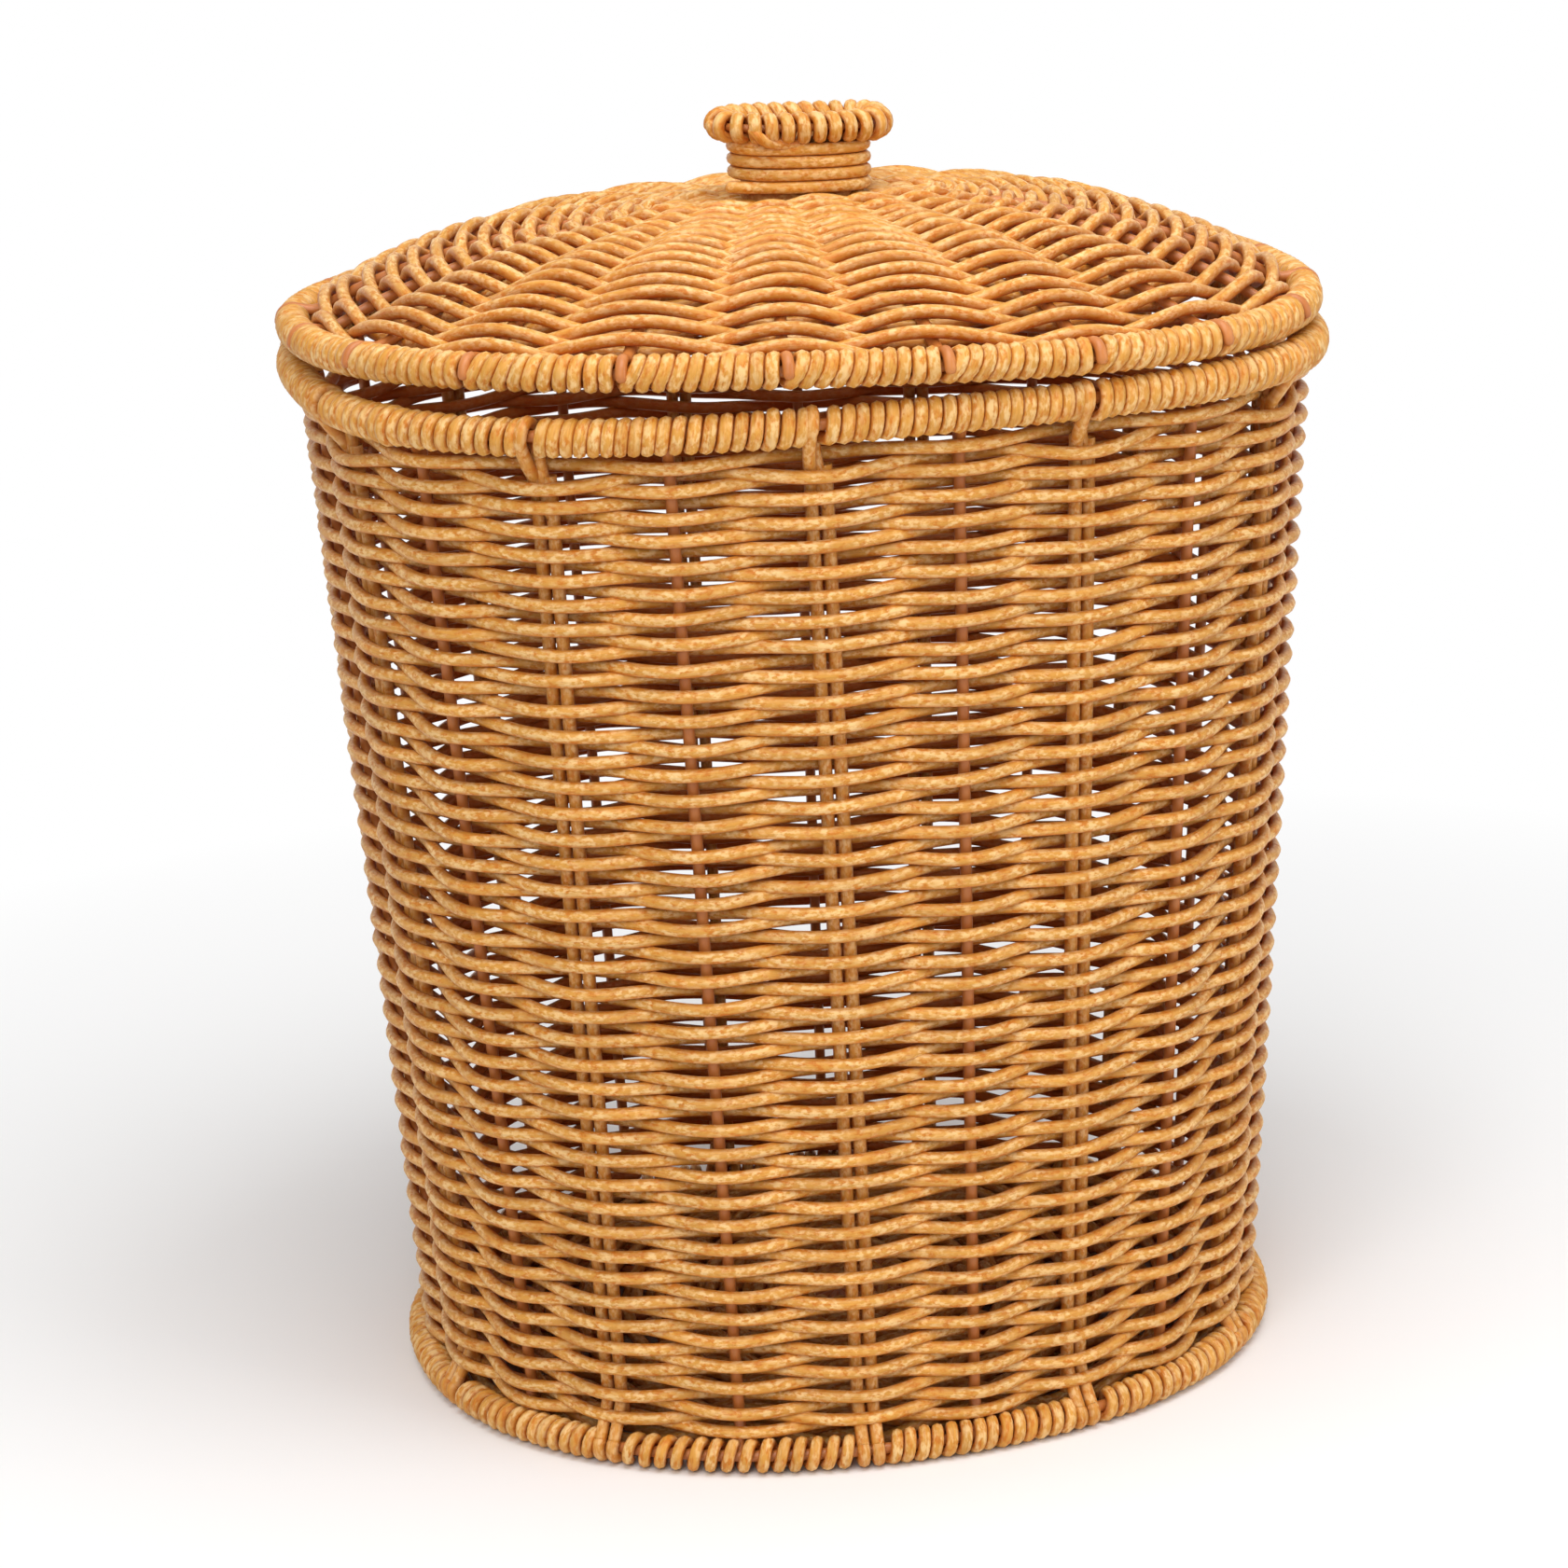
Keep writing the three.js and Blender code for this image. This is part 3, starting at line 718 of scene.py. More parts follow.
@dataclass(frozen=True)
class PlainWeave:
    """Two strands that go round together, half a row apart, one before the stakes that the other is behind.

    With s counted in stakes from a strand's own first one, it stands swing * (cos pi s + lean * sin^2 pi s) off
    the middle of the weave, where lean is above 0 for the strand that passes before the odd stakes and below 0
    for the other. From three eighths of the rows on it loses more of the swing, up to the part called loss. At
    the stakes both hang lower than between them, by dip * cos 2 pi s. A row drifts by hand at a slow pace, by a
    quick part of that at a quick one, and near the first row by wild too, all in rows. Its crossings drift by
    stake_hand, in stakes, and its swing and dip vary by a part of themselves. A pace is in changes a stake.
    """

    stakes: int
    phase: float
    rows: tuple[int, int]
    swing: float
    dip: float = 0.0
    lean: float = 0.12
    steps: int = 12
    sides: int = 8
    climb_stakes: float = 2.0
    start_stake: int = 6
    loss: float = 0.0
    wild: float = 0.0
    wild_pace: float = 0.9
    wild_fade: float = 0.7
    hand: float = 0.05
    slow_pace: float = 0.71
    quick_pace: float = 2.1
    quick_part: float = 0.6
    stake_hand: float = 0.05
    swing_hand: float = 0.04
    dip_hand: float = 0.3
    seed: int = 1

    def route(self, turned: int, surface: SurfacePoint) -> Array:
        """The route of one of the two strands, from the first row to the last.

        Args:
            turned: 0 for the strand that is in front at even stakes, and 1 for the other.
            surface: Gives points at shares, rows and distances off the middle.

        Returns:
            The route's points.
        """
        rows = self.rows[turned]
        walked = np.arange(rows * self.stakes * self.steps + 1) / self.steps
        stake = walked + self.start_stake
        lap = np.floor(walked / self.stakes)
        left = (lap + 1) * self.stakes - walked
        row = np.minimum(lap + smooth_step(1 - left / self.climb_stakes), rows - 1)
        beat = np.pi * (stake - turned)
        uneven = Unevenness(self.seed + turned)

        def wander(pace: float, start: float) -> Array:
            """A wandering with pace changes a stake, which reads the random values from start on."""
            return uneven.at(stake * pace + start)

        drift = self.hand * wander(self.slow_pace, 900) + self.quick_part * self.hand * wander(self.quick_pace, 1700)
        stray = self.wild * np.exp(-self.wild_fade * row) * wander(self.wild_pace, 40)
        hang = self.dip * (1 + self.dip_hand * wander(1, 0.5)) * np.cos(2 * beat)
        longer = self.lean * (1 if turned else -1) * np.sin(beat) ** 2
        ease = 1 - self.loss * smooth_step(row / (rows - 1) * 1.6 - 0.6)
        above = self.swing * ease * (np.cos(beat) + longer) * (1 + self.swing_hand * wander(1, 300.5))
        place = (stake + self.phase + self.stake_hand * wander(1, 600)) / self.stakes
        return surface(place, row + 0.5 * turned - hang + drift + stray, above)

    def tubes(
        self, surface: SurfacePoint, reference: Callable[[Array], Array], outer: float = 1.0
    ) -> list[Tube]:
        """The two strands as tubes.

        Args:
            surface: Gives points at shares, rows and distances off the middle.
            reference: Gives the direction that the section keeps to at each point of a route.
            outer: Which way the section's face looks, as in Tube.

        Returns:
            Two tubes.
        """
        routes = [self.route(turned, surface) for turned in (0, 1)]
        return [Tube(route, STOCK.strand / 2, reference(route), self.sides, outer=outer) for route in routes]


def upright(route: Array) -> Array:
    """The direction up, for each point of a route."""
    return np.broadcast_to(UP, route.shape)


def outward_level(route: Array) -> Array:
    """The level direction away from the middle axis, for each point of a route."""
    return unit(route * (1.0 - UP))


@dataclass(frozen=True)
class Wrapping:
    """A strand wound round a hoop in close turns, with a slot left free at each section's start.

    The turn with angle u stands at (R cos u, R sin u) beside the hoop, and moves on along it by the pitch in
    each turn and by the slot on the hidden inner side. A push moves the turns apart at the top of a slot: those
    after it forwards and those before it back, less and less towards the section's other end. The turns are
    fuller by above at the top and by below underneath, and where the hoop sags they come closer to the ring
    above it, or where closer is negative, to the ring below it. They wander along the hoop by looseness, and
    out from it by a part of that, at paces counted in changes a turn. A strand's end tucked in at a thick share
    makes the turns there fuller.
    """

    hoop: Hoop
    sections: int
    turns: int
    first_slot: float
    slot: float
    breadth: float = STOCK.wrap_breadth
    offset: float = 0.0
    push_after: float = 0.0
    push_before: float = 0.0
    push_angle: float = math.radians(60)
    push_sharpness: float = 0.7
    start_angle: float = math.radians(150)
    slot_turn: float = 0.38
    steps: int = 16
    looseness: float = 0.2 * MM
    loose_part: float = 0.4
    along_pace: float = 1.3
    out_pace: float = 1.1
    thick_shares: tuple = ()
    thick_by: float = 0.8 * MM
    thick_sharpness: float = 1.6
    slot_spread: float = 0.0
    above: float = 0.0
    below: float = 0.0
    closer: float = 0.0
    warp: Callable[[Array], Array] | None = None
    seed: int = 1

    def route(self) -> tuple[Array, Array]:
        """The strand's route, and the direction along the hoop at each point of it."""
        length = self.hoop.oval.perimeter
        section = length / self.sections
        pitch = (section - self.slot) / self.turns
        turn = np.arange(self.sections * self.turns * self.steps + 1) / self.steps
        index = np.minimum(np.floor(turn / self.turns), self.sections - 1)
        inside = turn - index * self.turns
        part = inside / self.turns
        uneven = Unevenness(self.seed)
        spread = self.slot_spread * uneven.at(index + 0.5)
        angle = self.start_angle + 2 * np.pi * turn
        place = index * section + inside * pitch - self.offset
        place += (self.slot + spread) * smooth_step(inside / self.slot_turn) - self.slot / 2
        place -= spread * smooth_step(part)
        shove = np.clip(np.cos(angle - self.push_angle), 0.0, None) ** self.push_sharpness
        place += shove * (self.push_after * (1 - part) - self.push_before * part)
        place += self.looseness * uneven.at(turn * self.along_pace + 50)
        share = self.first_slot + place / length
        if self.warp is not None:
            share = self.warp(share)
        loose = self.loose_part * self.looseness * uneven.at(turn * self.out_pace + 500)
        reach = (STOCK.wire + STOCK.wrap) / 2 + loose
        for thick in self.thick_shares:
            away = (np.mod(share - thick + 0.5, 1.0) - 0.5) * length / STOCK.wrap
            reach = reach + self.thick_by * np.exp(-(away**2) * self.thick_sharpness)
        sagged = facing(bearing(self.hoop.oval.at(share)[0]), self.hoop.sag_angle)
        high = self.above + max(self.closer, 0.0) * sagged
        low = self.below + max(-self.closer, 0.0) * sagged
        up = reach * np.sin(angle) + high * (1 + np.sin(angle)) / 2 - low * (1 - np.sin(angle)) / 2
        return self.hoop.beside(share, reach * np.cos(angle), up), self.hoop.along(share)

    def tube(self) -> Tube:
        """The whole winding as one unbroken tube."""
        route, along = self.route()
        return Tube(route, STOCK.wrap / 2, along, breadth=self.breadth, outer=-1.0)


# The basket


@dataclass
class Basket:
    """Foot, floor, wall and rim.

    The row heights give the height of a row of the wall at each row mark, with a straight run between marks.
    The drifts tell how far each stake from the first drifting one on stands off its even place.
    """

    shop: Workshop
    stake_count: int = 22
    stake_phase: float = 0.79
    foot_squareness: float = 2.16
    rim_squareness: float = 2.6
    rim_sag: float = 4 * MM
    rim_spread: float = 2 * MM
    first_drift: int = 11
    rim_drift: tuple = (3 * MM, 3.5 * MM, 6 * MM, 1 * MM, 3 * MM, 3.5 * MM, 0.0, -2.5 * MM, -2 * MM)
    foot_drift: tuple = (0.0, 0.0, -5 * MM, 1.5 * MM, 5.5 * MM, 3 * MM, 0.0, 0.0, 0.0)
    wall_inset: float = 6.6 * MM
    wall_rows: tuple = (40, 39)
    wall_dip: float = 0.3 * MM
    row_marks: tuple = (0.0, 0.5, 16.4, 31.6, 39.0)
    row_heights: tuple = (15.3 * MM, 18.8 * MM, 170.0 * MM, 319.8 * MM, 387.8 * MM)
    top_sag: float = 2.7 * MM
    top_fade: float = 2.4
    top_hold: float = 1.6
    leg_space: float = 0.6 * MM
    fold_slack: float = 0.1 * MM
    stake_tuck: float = 14 * MM
    floor_rows: int = 15
    floor_swing: float = 0.9
    hub_radius: float = 13 * MM
    spoke_lift: float = 1.6 * MM
    foot_slot: float = 12.2 * MM
    foot_turns: int = 14
    foot_bite: float = 0.9 * MM
    rim_slot: float = 5.2 * MM
    rim_turns: int = 19
    thick_turns: tuple = (0.578, 0.706, 0.81)
    foot: Hoop = field(init=False)
    rim: Hoop = field(init=False)

    def __post_init__(self) -> None:
        """Reads the hoops from the frame. The rim is spread a little lengthwise, as in use, and sags at +X."""
        self.foot = Hoop.of_node("foot_hoop", self.foot_squareness)
        rim = Hoop.of_node("rim_hoop", self.rim_squareness, sag=self.rim_sag)
        oval = replace(rim.oval, half_length=rim.oval.half_length + self.rim_spread)
        self.rim = replace(rim, oval=oval)

    def place(self, share: Array, out: Array | float, height: Array) -> Array:
        """Points on the leaning surface that joins the two hoops.

        Args:
            share: Parts of a lap.
            out: How far outwards of the line between the hoops.
            height: The height above the floor.

        Returns:
            One point a row: the foot's point and the rim's, mixed by the height.
        """
        low = self.foot.beside(self.drifted(share, self.foot_drift), out, 0.0)
        high = self.rim.beside(self.drifted(share, self.rim_drift), out, 0.0)
        part = (height - self.foot.height) / (self.rim.height - self.foot.height)
        return low + (high - low) * part[:, None]

    def drifted(self, share: Array, drift: tuple) -> Array:
        """Shares moved along a hoop with its stakes, which a hand set a little off their even places.

        Args:
            share: Parts of a lap, evenly counted.
            drift: How far each stake from the first drifting one on is off, anticlockwise from above.

        Returns:
            The moved shares: the drift runs straight from stake to stake.
        """
        first = self.stake_phase + self.first_drift
        stake = np.mod(share * self.stake_count - first + 1, self.stake_count)
        knots = np.concatenate([[0.0], drift, [0.0]])
        off = np.interp(stake, np.arange(len(knots)), knots, right=0.0)
        return share + off / self.rim.oval.perimeter

    def stake_share(self, index: int) -> float:
        """The share at which a stake stands."""
        return (index + self.stake_phase) / self.stake_count

    def build(self) -> None:
        """Makes every piece of the basket."""
        self.build_hoops()
        self.build_wall()
        self.build_stakes()
        self.build_floor()

    def build_hoops(self) -> None:
        """Makes the two hoops and their wrappings."""
        pairs = self.stake_count // 2
        foot = Wrapping(
            self.foot, pairs, self.foot_turns, self.stake_share(1), self.foot_slot,
            breadth=1.08, looseness=0.45 * MM, slot_spread=2.2 * MM, above=0.4 * MM, below=-0.25 * MM,
            warp=lambda share: self.drifted(share, self.foot_drift), seed=21,
        )
        rim = Wrapping(
            self.rim, pairs, self.rim_turns, self.stake_share(1), self.rim_slot,
            thick_shares=self.thick_turns, offset=1.7 * MM, below=1.1 * MM, closer=0.9 * MM,
            warp=lambda share: self.drifted(share, self.rim_drift), seed=22,
        )
        for name, hoop in (("foot", self.foot), ("rim", self.rim)):
            self.shop.piece(f"{name}_hoop_wire", [hoop.wire()], COATED_WIRE, Body.BASKET, f"{name}_hoop")
        for name, winding in (("foot", foot), ("rim", rim)):
            self.shop.piece(f"{name}_winding", [winding.tube()], HONEY, Body.BASKET, f"{name}_wrapping")

    def wall_point(self, share: Array, row: Array, above: Array) -> Array:
        """A point of the wall at a share, a row counted from the bottom and a distance outwards of its middle.

        The uppermost row that passes before the folded stakes sags under their folds, by up to top_sag times the
        fourth power of sin(pi s / 2), where s is counted in stakes. The sag is gone 1 / top_fade rows off it, and
        top_hold keeps it full close by.
        """
        height = np.interp(row, self.row_marks, self.row_heights)
        stake = share * self.stake_count - self.stake_phase
        topmost = np.clip(1 - self.top_fade * np.abs(row - self.wall_rows[1] + 0.5), 0.0, 1.0)
        sag = self.top_sag * smooth_step(self.top_hold * topmost) * np.sin(np.pi * stake / 2) ** 4
        return self.place(share, above - self.wall_inset, height - sag)

    def build_wall(self) -> None:
        """Makes the two weavers that go round and round the wall."""
        pitch = (self.row_heights[-1] - self.row_heights[0]) / self.row_marks[-1]
        weave = PlainWeave(
            self.stake_count, self.stake_phase, self.wall_rows, STOCK.swing, dip=self.wall_dip / pitch, hand=0.075,
            seed=31,
        )
        tubes = weave.tubes(self.wall_point, upright)
        for name, tube in zip(("wires", "pairs"), tubes):
            self.shop.piece(f"wall_weaver_over_{name}", [tube], LEVEL, Body.BASKET, "wall_weave")

    def stake_tube(
        self, index: int, knots: list[tuple[float, float, float]], samples: int, **tube: float
    ) -> Tube:
        """A stake that runs smoothly through knots.

        Args:
            index: The stake's number, from 0.
            knots: For each knot, how far along the wall, how far out of the line between the hoops, and the height.
            samples: How many points each stretch between two knots gets.
            **tube: The tube's radius and what else it needs.

        Returns:
            The tube.
        """
        along, out, height = np.array(knots).T
        shares = np.full(len(knots), self.stake_share(index))
        side = self.foot.along(shares)
        route = smooth_route(self.place(shares, out, height) + side * along[:, None], samples)
        return Tube(route, reference=side[:1], **tube)

    def wire_stake(self, index: int) -> Tube:
        """A wire that stands up from the foot's hoop and leans out to the rim's."""
        inset, tuck = self.wall_inset, self.stake_tuck
        bend = [(1.2 * MM, 0.0), (0.55 * inset, 0.45 * tuck), (inset, tuck), (inset, 2 * tuck)]
        knots = [(0.0, -inward, self.foot.height + rise) for inward, rise in bend]
        knots += [(0.0, -inward, self.rim.height - rise) for inward, rise in reversed(bend)]
        return self.stake_tube(index, knots, 8, radius=STOCK.wire / 2, sides=WIRE_SIDES, outer=-1.0)

    def folded_stake(self, index: int) -> Tube:
        """A strand folded over the rim: both legs end round the foot, and the fold comes down the rim's front.

        The first leg slants out from behind the sagging row to the front of the rim, as a turn of the winding
        does. The fold goes over the hoop, and the second leg drops from its inner side.
        """
        low, high, inset, tuck = self.foot.height, self.rim.height, self.wall_inset, self.stake_tuck
        leg = (STOCK.strand + self.leg_space) / 2
        reach = STOCK.swing + self.fold_slack
        tight = reach - self.foot_bite
        upright_knots = [
            (math.cos(a) * tight, low + math.sin(a) * tight)
            for a in np.radians([-150, -115, -80, -40, 0, 35, 65])
        ]
        upright_knots += [(-inset, low + 1.3 * tuck), (-inset, low + 2.5 * tuck), (-inset, high - 3 * tuck)]
        first = [(-leg, out, height) for out, height in upright_knots]
        first += [
            (-leg, -inset, high - 1.75 * tuck),
            (-1.1 * leg, -0.86 * inset, high - 17.2 * MM),
            (-1.4 * leg, -0.2 * inset, high - 10.6 * MM),
        ]
        fold_angles = np.radians([-45, -15, 20, 55, 90, 130, 170, 205])
        spread = np.linspace(-1.5, -0.4, len(fold_angles)) * leg
        fold = [
            (along, math.cos(a) * reach, high + math.sin(a) * reach) for along, a in zip(spread, fold_angles)
        ]
        second = [
            (-0.4 * leg, -inset, high - 0.7 * tuck),
            (0.1 * leg, -inset, high - 1.4 * tuck),
            (0.75 * leg, -inset, high - 2.2 * tuck),
        ]
        second += [(leg, out, height) for out, height in reversed(upright_knots)]
        return self.stake_tube(index, first + fold + second, 6, radius=STOCK.strand / 2, outer=0.0)

    def build_stakes(self) -> None:
        """Makes the wire stakes and the folded ones by turns."""
        for index in range(self.stake_count):
            if index % 2:
                tube, finish, kind = self.folded_stake(index), WOVEN, "folded_stake"
            else:
                tube, finish, kind = self.wire_stake(index), COATED_WIRE, "wire_stake"
            node = f"{kind}_{index // 2 + 1:02d}"
            self.shop.piece(f"bent_{node}", [tube], finish, Body.BASKET, node)

    def floor_point(self, share: Array, row: Array, above: Array) -> Array:
        """A point of the floor at a share, a row counted from the edge inwards and a distance above it."""
        edge_inset = STOCK.wire / 2 + STOCK.wrap + STOCK.strand
        half_length, half_width = self.foot.oval.half_length, self.foot.oval.half_width
        outer, _ = Oval(half_length - edge_inset, half_width - edge_inset, self.foot_squareness).at(share)
        inner, _ = Oval(self.hub_radius, self.hub_radius, 2.0).at(share)
        outward = 1 - row / (self.floor_rows - 0.5)
        flat = inner + (outer - inner) * outward[:, None]
        return np.column_stack([flat, self.foot.height + self.spoke_lift + above])

    def build_floor(self) -> None:
        """Makes the floor's spokes and the rows that are woven over them."""
        weave = PlainWeave(
            self.stake_count, self.stake_phase, (self.floor_rows, self.floor_rows),
            STOCK.swing * self.floor_swing,
            lean=0.0, steps=8, sides=6, loss=0.6, seed=41,
        )
        tubes = weave.tubes(self.floor_point, outward_level, -1.0)
        self.shop.piece("floor_rows", tubes, WOVEN, Body.BASKET, "floor_weave")
        reach = np.linspace(0.0, 1.0, 6)
        centre = UP * (self.foot.height + self.spoke_lift)
        spokes = []
        for index in range(0, self.stake_count, 2):
            outer = self.foot.beside(self.stake_share(index), -STOCK.wire / 2, self.spoke_lift)
            route = centre + (outer - centre) * reach[:, None]
            spokes.append(Tube(route, STOCK.wire / 2, UP, WIRE_SIDES))
        self.shop.piece("floor_spokes", spokes, COATED_WIRE, Body.BASKET, "floor_spider")


# The lid


@dataclass
class Lid:
    """Hoop, wrapping, ribs, dome and knob.

    The neck's strand starts neck_lift of a pitch over its lowest place and climbs within a part of each turn,
    neck_climb. The last climb stops neck_short of a pitch early. The hands are how far a strand wanders: up and
    down on the neck, and on the knob out from its hoop and, in laps, along it.
    """

    shop: Workshop
    rib_count: int = 20
    rib_phase: float = 0.2
    squareness: float = 2.36
    bow_angle: float = math.radians(-130)
    hoop_sag: float = 2.2 * MM
    hoop_sag_angle: float = math.radians(12)
    rows: int = 15
    edge_inset: float = 9.8 * MM
    edge_lift: float = 4.2 * MM
    dome_rise: float = 33.6 * MM
    dome_power: float = 2.8
    dome_dip: float = 0.5 * MM
    neck_rise: float = 2.5 * MM
    neck_rows: float = 3.0
    first_row: float = 1.01
    row_reach: float = 1.02
    fan: float = 0.37
    spine: Oval = Oval(58 * MM, 18.5 * MM, 2.3)
    centre_lines: int = 9
    centre_reach: float = 0.88
    centre_past: float = 1.5 * MM
    centre_lift: float = 1.3 * MM
    centre_wave: float = 0.9 * MM
    centre_wave_length: float = 22 * MM
    centre_hidden: float = 0.7
    rib_bend: tuple = (118.0, 92.0, 64.0, 34.0, 2.0)
    rib_reach: float = 5.1 * MM
    hoop_turns: int = 10
    neck_squareness: float = 2.4
    neck_strand: float = 4.3 * MM
    neck_turns: int = 4
    neck_start: float = 0.6
    neck_lift: float = 0.1
    neck_climb: float = 0.4
    neck_short: float = 0.7
    neck_hand: float = 0.1 * MM
    knob_squareness: float = 2.6
    knob_strand: float = 4.3 * MM
    knob_wire: float = 3.0 * MM
    knob_turns: int = 25
    knob_tilt: float = -0.045
    knob_seat: float = 3.3 * MM
    knob_lean: float = 0.16
    knob_gap: float = 0.4
    knob_fuller: float = 0.18
    knob_slack: float = 0.3 * MM
    knob_hand: float = 0.15 * MM
    knob_share_hand: float = 0.0015
    knob_breadth: float = 1.22
    hoop: Hoop = field(init=False)

    def __post_init__(self) -> None:
        """Reads the hoop from the frame."""
        self.hoop = Hoop.of_node(
            "lid_hoop", self.squareness, True,
            bow_angle=self.bow_angle, sag=self.hoop_sag, sag_angle=self.hoop_sag_angle,
        )

    def rib_share(self, index: int) -> float:
        """The share at which a rib crosses the hoop."""
        return (index + self.rib_phase) / self.rib_count

    def on_dome(self, flat: Array) -> Array:
        """Points of the dome's middle over points of its plan.

        With r the distance from the centre, 1 at the edge's oval, the height over the hoop is
        edge_lift + dome_rise * (1 - r^dome_power) + r^2 times the hoop's own bow in that direction.
        """
        size = np.array([self.hoop.oval.half_length, self.hoop.oval.half_width]) - self.edge_inset
        away = np.sum(np.abs(flat / size) ** self.squareness, axis=1) ** (1 / self.squareness)
        bow = self.hoop.bow_at(bearing(flat)) * away**2
        lift = self.edge_lift + self.dome_rise * (1 - away**self.dome_power)
        return np.column_stack([flat, self.hoop.height + lift + bow])

    def middle(self, share: Array, outward: Array) -> Array:
        """Points in the middle of the dome.

        The plan runs straight from the spine's oval to the edge's, and the ribs fan out: the share at the spine
        is share - fan sin(4 pi share) / 4 pi.

        Args:
            share: Parts of a lap at the hoop.
            outward: 0 at the spine and 1 at the edge by the hoop.

        Returns:
            One point a row.
        """
        at_spine = share - self.fan * np.sin(4 * np.pi * share) / (4 * np.pi)
        inner, _ = self.spine.at(at_spine)
        edge = self.hoop.beside(share, -self.edge_inset, 0.0)
        return self.on_dome(inner + (edge[:, :2] - inner) * outward[:, None])

    def surface(self, share: Array, row: Array, above: Array) -> Array:
        """Points of the dome at shares, rows counted from the hoop inwards and distances above the middle.

        Above is measured square to the dome, along the cross product of its two slopes. The last rows rise
        against the neck.
        """
        outward = self.first_row - self.row_reach * row / (self.rows - 0.5)
        above = above + self.neck_rise * smooth_step((row - self.rows + 0.5) / self.neck_rows + 1)
        small = 1e-4
        point = self.middle(share, outward)
        round_slope = self.middle(share + small, outward) - point
        out_slope = self.middle(share, outward + small) - point
        return point + unit(np.cross(out_slope, round_slope)) * above[:, None]

    def build(self) -> None:
        """Makes every piece of the lid."""
        self.build_hoop()
        self.build_dome()
        for index in range(self.rib_count):
            node = f"lid_rib_{index + 1:02d}"
            self.shop.piece(f"bent_{node}", [self.rib(index)], COATED_WIRE, Body.LID, node)
        self.build_neck()
        self.build_knob()

    def build_hoop(self) -> None:
        """Makes the hoop and its wrapping, whose turns are pushed apart over the ribs."""
        self.shop.piece("lid_hoop_wire", [self.hoop.wire()], COATED_WIRE, Body.LID, "lid_hoop")
        wrapping = Wrapping(
            self.hoop, self.rib_count, self.hoop_turns, self.rib_share(0), 1.4 * MM,
            offset=2.0 * MM, push_after=3.0 * MM, push_before=1.3 * MM, breadth=1.22,
            above=0.8 * MM, closer=-0.9 * MM, seed=51,
        )
        self.shop.piece("lid_winding", [wrapping.tube()], HONEY, Body.LID, "lid_wrapping")

    def build_dome(self) -> None:
        """Makes the two weavers of the dome, and the strands that lie along its middle at the neck's ends."""
        pitch = (self.hoop.oval.half_width - self.edge_inset - self.spine.half_width) / self.rows
        weave = PlainWeave(
            self.rib_count, self.rib_phase, (self.rows, self.rows), STOCK.swing, -self.dome_dip / pitch,
            steps=14, loss=0.7, wild=0.16, start_stake=5, seed=61,
        )
        even, odd = weave.tubes(self.surface, outward_level, -1.0)
        middle = [even, *self.centre_strands()]
        self.shop.piece("dome_weaver_over_even_ribs", middle, WOVEN, Body.LID, "lid_weave")
        self.shop.piece("dome_weaver_over_odd_ribs", [odd], WOVEN, Body.LID, "lid_weave")

    def centre_strands(self) -> list[Tube]:
        """Strands along the dome's length, from under the neck to the spine's ends, a little wavy.

        The first and the last pass beside the neck in one stretch. The others stop short of it on both sides.
        """
        low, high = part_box("knob_neck_winding")
        shift, hidden = (low.x + high.x) / 2, self.centre_hidden * (high.x - low.x) / 2
        power = self.spine.squareness
        tubes = []
        for line in range(self.centre_lines):
            part = (line / (self.centre_lines - 1) * 2 - 1) * self.centre_reach
            end = self.spine.half_length * (1 - abs(part) ** power) ** (1 / power) + self.centre_past
            stretches = [(-end, shift - hidden), (shift + hidden, end)]
            if line in (0, self.centre_lines - 1):
                stretches = [(-end, end)]
            for first, last in stretches:
                along = np.linspace(first, last, 32)
                flat = np.column_stack([along, np.full(len(along), part * self.spine.half_width)])
                wave = np.cos(np.pi * (2 * along / self.centre_wave_length + line)) * self.centre_wave
                route = self.on_dome(flat) + UP * (wave + self.centre_lift)[:, None]
                tubes.append(Tube(route, STOCK.strand / 2, np.array([0.0, 1.0, 0.0])))
        return tubes

    def rib(self, index: int) -> Tube:
        """A rib down the middle of the dome, and over the hoop at the degrees of rib_bend, 0 being its outside."""
        share = self.rib_share(index)
        outward = np.linspace(0.0, 1.0, 10)
        down = self.middle(np.full(len(outward), share), outward)
        angles = np.radians(self.rib_bend)
        shares = np.full(len(angles), share)
        over = self.hoop.beside(shares, self.rib_reach * np.cos(angles), self.rib_reach * np.sin(angles))
        route = smooth_route(np.vstack([down, over]), 4)
        return Tube(route, STOCK.wire / 2, self.hoop.along(share), WIRE_SIDES, outer=-1.0)

